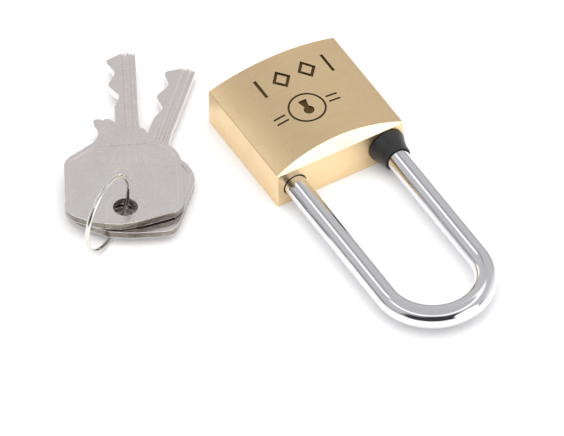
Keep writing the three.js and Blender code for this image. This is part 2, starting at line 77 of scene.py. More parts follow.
FLAT_LIKENESS = 0.995
WORN_LIKENESS = 0.9
FACING_POWER = 4.0
BEVEL_SAMPLES = 6
CORNER_STEPS = 8
FRONT_KEY_HEADING = 241.9
REAR_KEY_HEADING = 224.3

Socket = bpy.types.NodeSocket
Point = bmesh.types.BMVert
Edge = bmesh.types.BMEdge


class Grain(Enum):
    """The way that a finish's fine scratches run."""

    BODY_FACES = "across the front and the ends, up the sides"
    ALONG_X = "along X"
    ALONG_Y = "along Y"
    ROUND = "no direction"


class Slot(Enum):
    """The record's material slots."""

    BODY_BRASS = "body_brass"
    PLUG_BRASS = "plug_brass"
    SHACKLE_CHROME = "shackle_chrome"
    COLLAR_PLASTIC = "collar_plastic"
    KEY_NICKEL = "key_nickel"
    RING_STEEL = "ring_steel"
    PIN_STEEL = "pin_steel"
    BALL_STEEL = "ball_steel"
    SPRING_STEEL = "spring_steel"


class Join(Enum):
    """The ways to combine two solids."""

    CUT = "DIFFERENCE"
    ADD = "UNION"


# ---- Shapes ----


def only(kind: type, items: list) -> list:
    """Picks the points or the edges out of what a mesh step made."""
    return [item for item in items if isinstance(item, kind)]


class Blank:
    """A shape in millimetres while it is being worked."""

    def __init__(self) -> None:
        """Starts with nothing."""
        self.shape = bmesh.new()

    def carry(self, move: Matrix) -> "Blank":
        """Moves the whole shape.

        Args:
            move: The move, in millimetres.

        Returns:
            The same blank.
        """
        bmesh.ops.transform(self.shape, matrix=move, verts=self.shape.verts)
        return self

    def weld(self) -> "Blank":
        """Merges doubled points and turns every face outwards."""
        bmesh.ops.remove_doubles(self.shape, verts=self.shape.verts, dist=WELD)
        bmesh.ops.recalc_face_normals(self.shape, faces=self.shape.faces)
        return self

    def thicken(self, run: Vector) -> "Blank":
        """Extrudes every face of a flat shape into a solid.

        Args:
            run: How far and which way.

        Returns:
            The same blank.
        """
        made = bmesh.ops.extrude_face_region(self.shape, geom=list(self.shape.faces))
        moved = only(Point, made["geom"])
        bmesh.ops.translate(self.shape, vec=run, verts=moved)
        return self.weld()

    def grow(self, rim: list, run: Vector) -> list:
        """Extrudes an open end.

        Args:
            rim: The edges of the open end.
            run: How far and which way.

        Returns:
            The edges of the new end.
        """
        made = bmesh.ops.extrude_edge_only(self.shape, edges=rim)["geom"]
        bmesh.ops.translate(self.shape, vec=run, verts=only(Point, made))
        return only(Edge, made)

    def soften(self, width: float, steps: int = 2, sharper: float = SHARP_ANGLE) -> "Blank":
        """Rounds every edge that is sharper than an angle.

        Args:
            width: Width of the rounding.
            steps: Faces across the rounding.
            sharper: The angle, in radians.

        Returns:
            The same blank.
        """
        edges = [e for e in self.shape.edges if e.is_manifold and e.calc_face_angle(0) > sharper]
        bmesh.ops.bevel(
            self.shape,
            geom=edges,
            offset=width,
            offset_type="OFFSET",
            segments=steps,
            profile=0.5,
            affect="EDGES",
            clamp_overlap=True,
            material=-1,
        )
        return self

    def slice_off(self, point: Vector, outward: Vector) -> "Blank":
        """Saws off what lies beyond a plane and closes the cut.

        Args:
            point: A point on the plane.
            outward: The side that goes.

        Returns:
            The same blank.
        """
        everything = [*self.shape.verts, *self.shape.edges, *self.shape.faces]
        made = bmesh.ops.bisect_plane(
            self.shape, geom=everything, dist=WELD, plane_co=point, plane_no=outward, clear_outer=True
        )
        rim = only(Edge, made["geom_cut"])
        bmesh.ops.contextual_create(self.shape, geom=rim)
        return self.weld()

    def combine(self, join: Join, *tools: "Blank") -> "Blank":
        """Cuts other solids out of this one, or adds them to it.

        Args:
            join: Whether to cut or to add.
            tools: The other solids, which are used up.

        Returns:
            The same blank.
        """
        target = self.release("stand_in")
        others = [tool.release("stand_in") for tool in tools]
        for other in others:
            step = target.modifiers.new("step", "BOOLEAN")
            step.operation = join.value
            step.solver = "EXACT"
            step.object = other
        graph = bpy.context.evaluated_depsgraph_get()
        made = target.evaluated_get(graph)
        result = bmesh.new()
        result.from_mesh(made.to_mesh())
        made.to_mesh_clear()
        self.shape = result
        for used in [target, *others]:
            mesh = used.data
            bpy.data.objects.remove(used)
            bpy.data.meshes.remove(mesh)
        return self.weld()

    def release(self, name: str) -> bpy.types.Object:
        """Makes a scene object of the shape, at its own size, and uses the shape up."""
        mesh = bpy.data.meshes.new(name)
        self.shape.to_mesh(mesh)
        self.shape.free()
        made = bpy.data.objects.new(name, mesh)
        bpy.context.scene.collection.objects.link(made)
        return made


def rod(radius: float, start: Vector, end: Vector, sides: int = ROUND_SIDES) -> Blank:
    """Makes a round rod.

    Args:
        radius: Its radius.
        start: The middle of one end.
        end: The middle of the other end.
        sides: Faces round it.

    Returns:
        The rod.
    """
    run = end - start
    place = Matrix.Translation((start + end) / 2) @ run.to_track_quat("Z", "Y").to_matrix().to_4x4()
    made = Blank()
    bmesh.ops.create_cone(
        made.shape,
        cap_ends=True,
        cap_tris=False,
        segments=sides,
        radius1=radius,
        radius2=radius,
        depth=run.length,
        matrix=place,
    )
    return made


def box(low: Vector, high: Vector) -> Blank:
    """Makes a block between two corners."""
    size = high - low
    made = Blank()
    place = Matrix.Translation((low + high) / 2) @ Matrix.Diagonal((*size, 1))
    bmesh.ops.create_cube(made.shape, size=1, matrix=place)
    return made


def ball(radius: float, centre: Vector) -> Blank:
    """Makes a round ball."""
    made = Blank()
    bmesh.ops.create_uvsphere(
        made.shape,
        u_segments=SMALL_SIDES,
        v_segments=SMALL_SIDES // 2,
        radius=radius,
        matrix=Matrix.Translation(centre),
    )
    return made


def plate(corners: list[tuple[float, float]], rounding: dict[int, float] | None = None) -> Blank:
    """Makes a flat plate in X and Y from its corners.

    Args:
        corners: The corners in order.
        rounding: Radius of the rounding at a corner's number.

    Returns:
        The plate, still without thickness.
    """
    made = Blank()
    points = [made.shape.verts.new((x, y, 0)) for x, y in corners]
    made.shape.faces.new(points)
    by_radius: dict[float, list[bmesh.types.BMVert]] = {}
    for number, radius in (rounding or {}).items():
        by_radius.setdefault(radius, []).append(points[number])
    for radius, chosen in by_radius.items():
        bmesh.ops.bevel(
            made.shape,
            geom=chosen,
            offset=radius,
            offset_type="OFFSET",
            segments=CORNER_STEPS,
            profile=0.5,
            affect="VERTICES",
            material=-1,
        )
    return made


def turned(profile: list[tuple[float, float]], centre: Vector, sides: int = ROUND_SIDES) -> Blank:
    """Turns a closed profile round a line along Y.

    Args:
        profile: Radius and height at each corner.
        centre: A point on the line, from which heights count.
        sides: Faces round it.

    Returns:
        The turned solid.
    """
    made = Blank()
    points = [made.shape.verts.new((radius, height, 0)) for radius, height in profile]
    edges = [made.shape.edges.new(pair) for pair in zip(points, points[1:] + points[:1])]
    bmesh.ops.spin(
        made.shape,
        geom=[*points, *edges],
        cent=(0, 0, 0),
        axis=(0, 1, 0),
        dvec=(0, 0, 0),
        angle=FULL_TURN,
        steps=sides,
        use_merge=True,
        use_duplicate=False,
    )
    return made.weld().carry(Matrix.Translation(centre))


def bend(start: tuple, pull: tuple, end: tuple, steps: int = 8) -> list[tuple[float, float]]:
    """Gives the points of a smooth bend between two points.

    Args:
        start: The first point.
        pull: The point that the bend is pulled towards.
        end: The last point.
        steps: Stretches along the bend.

    Returns:
        The points, with both ends.
    """
    points = []
    for step in range(steps + 1):
        share = step / steps
        shares = ((1 - share) ** 2, 2 * share * (1 - share), share**2)
        points.append(tuple(sum(w * p[i] for w, p in zip(shares, (start, pull, end))) for i in (0, 1)))
    return points


# ---- The frame's places ----


@dataclass(frozen=True)
class Layout:
    """Places of the lock's pieces in millimetres, read from the frame."""

    side_x: float
    front_z: float
    near_end: float
    far_end: float
    bar_radius: float
    leg_x: float
    bar_z: float
    bend_y: float
    heel_end: float
    collar_start: float
    collar_length: float
    plug_z: float
    plug_start: float
    plug_end: float
    plug_radius: float
    cam_end: float
    ball_y: float
    ball_z: float
    retainer_x: float
    retainer_y: float
    stop_pin_x: float
    stop_pin_y: float
    pin_y: tuple[float, ...]

    @classmethod
    def read(cls, bar_radius: float = 3.3, tongue: float = 1.6, pins: int = 5) -> "Layout":
        """Reads the places from the frame's boxes.

        Args:
            bar_radius: Radius of the shackle's bar.
            tongue: Length of the plug's driving tongue.
            pins: How many pin stacks the lock has.

        Returns:
            The places.
        """
        body_low, body_high = box_of("lock_body")
        bar_low, bar_high = box_of("shackle")
        collar_low, collar_high = box_of("shackle_collar")
        plug_low, plug_high = box_of("lock_plug")
        leg_x = bar_high.x - bar_radius
        retainer = middle_of("plug_retaining_pin")
        stop_pin = middle_of("heel_stop_pin")
        toe_ball = middle_of("toe_ball")
        return cls(
            side_x=body_high.x,
            front_z=body_high.z,
            near_end=body_high.y,
            far_end=body_low.y,
            bar_radius=bar_radius,
            leg_x=leg_x,
            bar_z=(bar_low.z + bar_high.z) / 2,
            bend_y=bar_high.y - leg_x - bar_radius,
            heel_end=bar_low.y,
            collar_start=collar_low.y,
            collar_length=collar_high.y - collar_low.y,
            plug_z=(plug_low.z + plug_high.z) / 2,
            plug_start=plug_low.y,
            plug_end=plug_high.y - tongue,
            plug_radius=plug_high.x,
            cam_end=box_of("locking_cam")[1].y,
            ball_y=toe_ball.y,
            ball_z=toe_ball.z,
            retainer_x=retainer.x,
            retainer_y=retainer.y,
            stop_pin_x=stop_pin.x,
            stop_pin_y=stop_pin.y,
            pin_y=tuple(middle_of(f"key_pin_{number + 1}").y for number in range(pins)),
        )


def box_of(node: str) -> tuple[Vector, Vector]:
    """Gives a frame node's lowest and highest corners in millimetres."""
    low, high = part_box(node)
    return low / MM, high / MM


def middle_of(node: str) -> Vector:
    """Gives the middle of a frame node's box in millimetres."""
    low, high = box_of(node)
    return (low + high) / 2


# ---- Finishes ----


class Sheet:
    """The nodes of a material or of the world while they are put together."""

    def __init__(self, owner: bpy.types.Material | bpy.types.World) -> None:
        """Starts with the owner's own nodes."""
        owner.use_nodes = True
        self.tree = owner.node_tree

    def add(self, kind: str, **settings: object) -> bpy.types.Node:
        """Adds a node and sets its own options."""
        node = self.tree.nodes.new(kind)
        for name, value in settings.items():
            setattr(node, name, value)
        return node

    def link(self, source: Socket, target: Socket) -> None:
        """Joins two sockets."""
        self.tree.links.new(source, target)

    def ranged(
        self,
        value: Socket,
        start: float,
        end: float,
        low: float = 0.0,
        high: float = 1.0,
        kind: str = "LINEAR",
    ) -> Socket:
        """Moves a number from one range to another and holds it there.

        Args:
            value: The number.
            start: The number that becomes low.
            end: The number that becomes high.
            low: One end of the new range.
            high: The other end of the new range.
            kind: The way between them.

        Returns:
            The new number.
        """
        node = self.add("ShaderNodeMapRange", interpolation_type=kind)
        for name, limit in (("From Min", start), ("From Max", end), ("To Min", low), ("To Max", high)):
            node.inputs[name].default_value = limit
        self.link(value, node.inputs["Value"])
        return node.outputs["Result"]

    def blend(self, share: Socket, first: object, second: object, kind: str = "MIX") -> Socket:
        """Mixes two colours.

        Args:
            share: How much of the second.
            first: A colour or the socket it comes from.
            second: A colour or the socket it comes from.
            kind: The way of mixing.

        Returns:
            The mixed colour.
        """
        mix = self.add("ShaderNodeMix", data_type="RGBA", blend_type=kind)
        self.link(share, mix.inputs["Factor"])
        for name, value in (("A", first), ("B", second)):
            socket = next(s for s in mix.inputs if s.name == name and s.type == "RGBA")
            if isinstance(value, Socket):
                self.link(value, socket)
            else:
                socket.default_value = (*value, 1)
        return next(s for s in mix.outputs if s.type == "RGBA")

    def maths(self, kind: str, first: object, second: object) -> Socket:
        """Works out one number from two.

        Args:
            kind: The operation.
            first: A number or the socket it comes from.
            second: A number or the socket it comes from.

        Returns:
            The result.
        """
        node = self.add("ShaderNodeMath", operation=kind)
        for socket, value in zip(node.inputs, (first, second)):
            if isinstance(value, Socket):
                self.link(value, socket)
            else:
                socket.default_value = value
        return node.outputs["Value"]


class Recipe(Sheet):
    """A material while its nodes are put together."""

    def __init__(self, name: str) -> None:
        """Starts a material with its main shader."""
        self.material = bpy.data.materials.new(name)
        super().__init__(self.material)
        self.shader = self.tree.nodes["Principled BSDF"]
        self.place = self.add("ShaderNodeTexCoord")

    def speckle(self, size: tuple[float, float, float], detail: float = 2.0) -> Socket:
        """Adds noise whose lumps have a size in millimetres along X, Y and Z.

        Args:
            size: The lumps' size each way.
            detail: Finer layers of the noise.

        Returns:
            The noise, from 0 to 1.
        """
        mapping = self.add("ShaderNodeMapping")
        mapping.inputs["Scale"].default_value = [1 / (length * MM) for length in size]
        noise = self.add("ShaderNodeTexNoise")
        noise.inputs["Scale"].default_value = 1.0
        noise.inputs["Detail"].default_value = detail
        self.link(self.place.outputs["Object"], mapping.inputs["Vector"])
        self.link(mapping.outputs["Vector"], noise.inputs["Vector"])
        return noise.outputs["Fac"]

    def spread(self, value: Socket, low: float, high: float) -> Socket:
        """Stretches noise, which stays near a half, over the range from low to high."""
        return self.ranged(value, NOISE_LOW, NOISE_HIGH, low, high)

    def facing(self, axis: str) -> Socket:
        """Gives how squarely the surface faces along one of the piece's axes, from 0 to 1."""
        parts = self.add("ShaderNodeSeparateXYZ")
        self.link(self.place.outputs["Normal"], parts.inputs["Vector"])
        return self.maths("POWER", self.maths("ABSOLUTE", parts.outputs[axis], 0.0), FACING_POWER)

    def scratches(self, grain: Grain, width: float, length: float) -> Socket:
        """Adds fine scratches that run the grain's way.

        Args:
            grain: The way that they run.
            width: Their width in millimetres.
            length: Their length in millimetres.

        Returns:
            The scratches, from 0 to 1.
        """
        along_x = (length, width, width)
        along_y = (width, length, width)
        along_z = (width, width, length)
        if grain is Grain.ALONG_Y:
            return self.speckle(along_y)
        if grain is Grain.ALONG_X:
            return self.speckle(along_x)
        if grain is Grain.ROUND:
            return self.speckle((width, width, width))
        return self.blend(self.facing("X"), self.speckle(along_x), self.speckle(along_z))

    def bump(self, height: Socket, depth: float) -> None:
        """Raises the surface by a height of at most a depth in millimetres."""
        node = self.add("ShaderNodeBump")
        node.inputs["Strength"].default_value = 1.0
        node.inputs["Distance"].default_value = depth * MM
        self.link(height, node.inputs["Height"])
        self.link(node.outputs["Normal"], self.shader.inputs["Normal"])

    def edges(self, width: float) -> Socket:
        """Gives 1 on worn edges and 0 on open faces.

        Args:
            width: How far the wear reaches, in millimetres.

        Returns:
            The wear.
        """
        rounded = self.add("ShaderNodeBevel", samples=BEVEL_SAMPLES)
        rounded.inputs["Radius"].default_value = width * MM
        surface = self.add("ShaderNodeNewGeometry")
        likeness = self.add("ShaderNodeVectorMath", operation="DOT_PRODUCT")
        self.link(rounded.outputs["Normal"], likeness.inputs[0])
        self.link(surface.outputs["Normal"], likeness.inputs[1])
        return self.ranged(likeness.outputs["Value"], FLAT_LIKENESS, WORN_LIKENESS)


@dataclass(frozen=True)
class Metal:
    """A bare or plated metal with scratches, patches of tone and worn edges."""

    name: str
    colour: tuple[float, float, float]
    patch_colour: tuple[float, float, float]
    edge_colour: tuple[float, float, float]
    smoothest: float
    roughest: float
    grain: Grain = Grain.ROUND
    scratch_width: float = 0.12
    scratch_length: float = 6.0
    scratch_depth: float = 0.004
    streak_tint: float = 0.15
    patch_size: float = 9.0
    fine_share: float = 0.6
    broad_width: float = 4.0
    broad_length: float = 2.0
    patch_detail: float = 3.0
    worn_width: float = 2.0

    def make(self) -> bpy.types.Material:
        """Makes the material."""
        recipe = Recipe(self.name)
        fine = recipe.scratches(self.grain, self.scratch_width, self.scratch_length)
        broad = recipe.scratches(
            self.grain, self.scratch_width * self.broad_width, self.scratch_length * self.broad_length
        )
        patches = recipe.speckle((self.patch_size,) * 3, detail=self.patch_detail)
        colour = recipe.blend(recipe.spread(patches, 0.0, 1.0), self.colour, self.patch_colour)
        streaks = recipe.maths("MULTIPLY", recipe.spread(broad, 0.0, 1.0), self.streak_tint)
        colour = recipe.blend(streaks, colour, (0.0, 0.0, 0.0))
        colour = recipe.blend(recipe.edges(self.scratch_width * self.worn_width), colour, self.edge_colour)
        recipe.link(colour, recipe.shader.inputs["Base Color"])
        from_fine = recipe.maths("MULTIPLY", fine, self.fine_share)
        from_patches = recipe.maths("MULTIPLY", patches, 1 - self.fine_share)
        mixed = recipe.maths("ADD", from_fine, from_patches)
        recipe.link(recipe.spread(mixed, self.smoothest, self.roughest), recipe.shader.inputs["Roughness"])
        recipe.shader.inputs["Metallic"].default_value = 1.0
        heights = recipe.maths("ADD", fine, recipe.maths("MULTIPLY", broad, self.fine_share))
        recipe.bump(heights, self.scratch_depth)
        return recipe.material


@dataclass(frozen=True)
class Plastic:
    """A moulded plastic with a fine spark texture."""

    name: str
    colour: tuple[float, float, float]
    scuff_colour: tuple[float, float, float]
    roughness: float
    texture_size: float = 0.12
    texture_depth: float = 0.006
    texture_detail: float = 3.0
    scuff_size: float = 3.0
    scuff_detail: float = 4.0
    scuff_share: float = 0.5
    worn_reach: float = 0.2
    roughness_swing: float = 0.06

    def make(self) -> bpy.types.Material:
        """Makes the material."""
        recipe = Recipe(self.name)
        texture = recipe.speckle((self.texture_size,) * 3, detail=self.texture_detail)
        scuffs = recipe.speckle((self.scuff_size,) * 3, detail=self.scuff_detail)
        share = recipe.spread(scuffs, 0.0, self.scuff_share)
        colour = recipe.blend(share, self.colour, self.scuff_colour)
        colour = recipe.blend(recipe.edges(self.worn_reach), colour, self.scuff_colour)
        recipe.link(colour, recipe.shader.inputs["Base Color"])
        low, high = self.roughness - self.roughness_swing, self.roughness + self.roughness_swing
        recipe.link(recipe.spread(scuffs, low, high), recipe.shader.inputs["Roughness"])
        recipe.bump(texture, self.texture_depth)
        return recipe.material


BODY_BRASS = Metal(
    name="satin_brass",
    colour=(0.96, 0.73, 0.44),
    patch_colour=(0.92, 0.69, 0.405),
    edge_colour=(0.99, 0.84, 0.58),
    smoothest=0.26,
    roughest=0.40,
    grain=Grain.BODY_FACES,
    scratch_width=0.11,
    scratch_length=9.0,
    scratch_depth=0.002,
    streak_tint=0.06,
)
ENGRAVED_BRASS = Metal(
    name="engraved_brass",
    colour=(0.20, 0.12, 0.045),
    patch_colour=(0.13, 0.075, 0.028),
    edge_colour=(0.30, 0.19, 0.08),
    smoothest=0.45,
    roughest=0.65,
    scratch_depth=0.01,
)
PLUG_BRASS = Metal(
    name="turned_brass",
    colour=(0.82, 0.60, 0.30),
    patch_colour=(0.74, 0.53, 0.26),
    edge_colour=(0.95, 0.76, 0.45),
    smoothest=0.2,
    roughest=0.34,
    grain=Grain.ALONG_X,
    scratch_length=4.0,
)
CHROME = Metal(
    name="shackle_plating",
    colour=(0.80, 0.80, 0.83),
    patch_colour=(0.78, 0.78, 0.815),
    edge_colour=(0.86, 0.86, 0.88),
    smoothest=0.02,
    roughest=0.06,
    grain=Grain.ALONG_Y,
    scratch_width=0.5,
    scratch_length=14.0,
    scratch_depth=0.0004,
    streak_tint=0.02,
)
NICKEL = Metal(
    name="key_plating",
    colour=(0.92, 0.86, 0.84),
    patch_colour=(0.87, 0.81, 0.79),
    edge_colour=(0.97, 0.94, 0.92),
    smoothest=0.18,
    roughest=0.32,
    scratch_width=0.2,
    scratch_depth=0.003,
    streak_tint=0.06,
    patch_size=5.0,
)
# Painted shade on the keys' bow walls: a darker metal whose dark patches and streaks stand in for the shade
# between and under the keys.
SHADED_WALL_NICKEL = Metal(
    name="key_wall_painted_shade",
    colour=(0.50, 0.45, 0.40),
    patch_colour=(0.16, 0.14, 0.12),
    edge_colour=(0.92, 0.90, 0.88),
    smoothest=0.15,
    roughest=0.30,
    scratch_width=0.25,
    scratch_depth=0.006,
    streak_tint=0.35,
    patch_size=7.0,
)
RING_STEEL = Metal(
    name="ring_wire",
    colour=(0.80, 0.78, 0.74),
    patch_colour=(0.72, 0.70, 0.66),
    edge_colour=(0.90, 0.89, 0.87),
    smoothest=0.05,
    roughest=0.14,
    scratch_width=0.3,
    scratch_depth=0.002,
    streak_tint=0.08,
    patch_size=3.0,
)
PIN_STEEL = Metal(
    name="pin_metal",
    colour=(0.62, 0.62, 0.63),
    patch_colour=(0.55, 0.55, 0.57),
    edge_colour=(0.78, 0.78, 0.79),
    smoothest=0.18,
    roughest=0.32,
    patch_size=3.0,
)
BALL_STEEL = Metal(
    name="ball_metal",
    colour=(0.72, 0.72, 0.74),
    patch_colour=(0.66, 0.66, 0.69),
    edge_colour=(0.80, 0.80, 0.82),
    smoothest=0.06,
    roughest=0.14,
    scratch_depth=0.001,
    patch_size=3.0,
)
SPRING_STEEL = Metal(
    name="spring_wire",
    colour=(0.55, 0.54, 0.53),
    patch_colour=(0.44, 0.43, 0.42),
    edge_colour=(0.70, 0.70, 0.70),
    smoothest=0.2,
    roughest=0.4,
    scratch_width=0.08,
    patch_size=1.5,
)
BLACK_PLASTIC = Plastic(
    name="black_moulding",
    colour=(0.012, 0.012, 0.013),
    scuff_colour=(0.03, 0.03, 0.032),
    roughness=0.42,
)


class Wardrobe:
    """The finishes that are already made, so that pieces share them."""

    def __init__(self) -> None:
        """Starts empty."""
        self.made: dict[str, bpy.types.Material] = {}

    def get(self, finish: Metal | Plastic) -> bpy.types.Material:
        """Gives a finish's material and makes it the first time."""
        if finish.name not in self.made:
            self.made[finish.name] = finish.make()
        return self.made[finish.name]


@dataclass(frozen=True)
class Card:
    """What the frame should know about a finished piece."""

    name: str
    body: str
    replaces: tuple[str, ...]
    slot: Slot
    finishes: tuple[Metal | Plastic, ...]


def hand_over(blank: Blank, card: Card, wardrobe: Wardrobe) -> bpy.types.Object:
    """Turns a blank into a finished piece of the object.

    Args:
        blank: The shape, which is used up.
        card: The piece's name, body, slot and finishes; its slot is not used.
        wardrobe: The finishes.

    Returns:
        The piece.
    """
    bmesh.ops.scale(blank.shape, vec=(MM, MM, MM), verts=blank.shape.verts)
    piece = blank.release(card.name)
    mesh = piece.data
    mesh.shade_smooth()
    mesh.set_sharp_from_angle(angle=SHARP_ANGLE)
    for finish in card.finishes:
        mesh.materials.append(wardrobe.get(finish))
    shading = piece.modifiers.new("even_shading", "WEIGHTED_NORMAL")
    shading.keep_sharp = True
    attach(piece, card.body)
    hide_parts(*card.replaces)
    LOG.info("%s: %d faces on %s", card.name, len(mesh.polygons), card.body)
    return piece


# ---- Body ----


@dataclass
class LockBody:
    """The solid brass body: crowned front, sloped end, bores and an engraved front."""

    layout: Layout
    wardrobe: Wardrobe
    side_depth: float = 12.1
    crown: float = 3.2
    chamfer_run: float = 2.15
    chamfer_drop: float = 0.3
    crown_steps: int = 128
    edge: float = 0.25
    toe_hole_depth: float = 12.5
    heel_hole_floor: float = 1.9
    leg_gap: float = 0.3
    plug_gap: float = 0.3
    chamber_radius: float = 1.5
    ball_tunnel: float = 3.7
    retainer_hole: float = 0.85
    stop_pin_hole: float = 1.15
    pin_hole_depth: float = 10.3
    engraving_depth: float = 0.35
    floor_slack: float = 0.05
    crown_slack: float = 0.02
    marked_width: float = 0.85
    marked_height: float = 0.9

    @property
    def crown_radius(self) -> float:
        """Radius of the crowned front."""
        return (self.layout.side_x**2 + self.crown**2) / (2 * self.crown)

    @property
    def crown_centre(self) -> float:
        """Height of the crown's centre line."""
        return self.side_depth + self.crown - self.crown_radius

    def crowned_block(self, radius: float) -> Blank:
        """Makes a block with a flat back and a front crowned with a radius."""
        half = math.asin(self.layout.side_x / radius)
        made = Blank()
        shape = made.shape
        centre = Vector((0, self.layout.far_end, self.crown_centre))
        first = shape.verts.new(centre + radius * Vector((math.sin(-half), 0, math.cos(half))))
        arc = bmesh.ops.spin(
            shape,
            geom=[first],
            cent=centre,
            axis=(0, 1, 0),
            dvec=(0, 0, 0),
            angle=2 * half,
            steps=self.crown_steps,
            use_merge=False,
            use_duplicate=False,
        )
        last = only(Point, arc["geom_last"])[0]
        feet = [shape.verts.new((end.co.x, end.co.y, 0)) for end in (last, first)]
        for pair in ((last, feet[0]), (feet[0], feet[1]), (feet[1], first)):
            shape.edges.new(pair)
        bmesh.ops.contextual_create(shape, geom=list(shape.edges))
        return made.thicken(Vector((0, self.layout.near_end - self.layout.far_end, 0)))

    def bores(self) -> list[Blank]:
        """Makes the tools for every hole in the body."""
        at = self.layout
        out = at.near_end + OVERCUT
        leg_hole = at.bar_radius + self.leg_gap

        def along_y(radius: float, x: float, z: float, start: float, end: float) -> Blank:
            """Makes a round tool along Y between two heights."""
            return rod(radius, Vector((x, start, z)), Vector((x, end, z)))

        def through_back(radius: float, x: float, y: float, end: float) -> Blank:
            """Makes a round tool that comes in from the back."""
            return rod(radius, Vector((x, y, -OVERCUT)), Vector((x, y, end)), SMALL_SIDES)

        tunnel = [Vector((side * at.leg_x, at.ball_y, at.ball_z)) for side in (-1, 1)]
        stop_pin_end = self.pin_hole_depth + OVERCUT
        tools = [
            along_y(leg_hole, at.leg_x, at.bar_z, out, at.near_end - self.toe_hole_depth),
            along_y(leg_hole, -at.leg_x, at.bar_z, out, at.far_end + self.heel_hole_floor),
            along_y(
                at.plug_radius + self.plug_gap, 0, at.plug_z, at.far_end - OVERCUT, at.cam_end + self.plug_gap
            ),
            rod(self.ball_tunnel, *tunnel),
            through_back(self.retainer_hole, at.retainer_x, at.retainer_y, self.pin_hole_depth),
            through_back(self.stop_pin_hole, at.stop_pin_x, at.stop_pin_y, stop_pin_end),
        ]
        for y in at.pin_y:
            mouth = Vector((at.side_x + OVERCUT, y, at.plug_z))
            tools.append(rod(self.chamber_radius, Vector((0, y, at.plug_z)), mouth, SMALL_SIDES))
        return tools

    def engrave(self, body: Blank) -> Blank:
        """Cuts the marks of the front to an even depth below the crown."""
        floor = self.crowned_block(self.crown_radius - self.engraving_depth)
        for mark in FrontMarks(self.side_depth - self.crown, self.layout.front_z + OVERCUT).tools():
            below = Blank()
            below.shape = floor.shape.copy()
            body = body.combine(Join.CUT, mark.combine(Join.CUT, below))
        floor.shape.free()
        return body

    def darken_marks(self, body: Blank) -> None:
        """Gives the floors and walls of the engraving the second finish."""
        deepest = self.crown_radius - self.engraving_depth - self.floor_slack
        shallowest = self.crown_radius - self.crown_slack
        limit_y = self.layout.near_end - 2 * self.chamfer_run
        for face in body.shape.faces:
            middle = face.calc_center_median()
            out = math.hypot(middle.x, middle.z - self.crown_centre)
            inside = abs(middle.x) < self.layout.side_x * self.marked_width and abs(middle.y) < limit_y
            if inside and deepest < out < shallowest and middle.z > self.side_depth * self.marked_height:
                face.material_index = 1

    def build(self) -> bpy.types.Object:
        """Makes the body and dresses it."""
        body = self.crowned_block(self.crown_radius).soften(self.edge, steps=3)
        low = self.side_depth - self.chamfer_drop
        rise = self.crown + self.chamfer_drop
        outward = Vector((0, rise, self.chamfer_run)).normalized()
        body = body.slice_off(Vector((0, self.layout.near_end, low)), outward)
        body = body.combine(Join.CUT, *self.bores())
        body = self.engrave(body)
        self.darken_marks(body)
        card = Card(
            "brass_body", "lock_body", ("lock_body",), Slot.BODY_BRASS, (BODY_BRASS, ENGRAVED_BRASS)
        )
        return hand_over(body, card, self.wardrobe)


@dataclass
class ChamberPlugs:
    """The brass plugs that close the pin chambers, ground flush with the body's side."""

    layout: Layout
    wardrobe: Wardrobe
    radius: float = 1.497
    length: float = 2.8

    def build(self) -> None:
        """Makes every plug and dresses it."""
        at = self.layout
        for number, y in enumerate(at.pin_y, start=1):
            start = Vector((at.side_x - self.length, y, at.plug_z))
            plug = rod(self.radius, start, Vector((at.side_x, y, at.plug_z)), SMALL_SIDES)
            node = f"chamber_plug_{number}"
            card = Card(f"flush_plug_{number}", "lock_body", (node,), Slot.BODY_BRASS, (BODY_BRASS,))
            hand_over(plug, card, self.wardrobe)


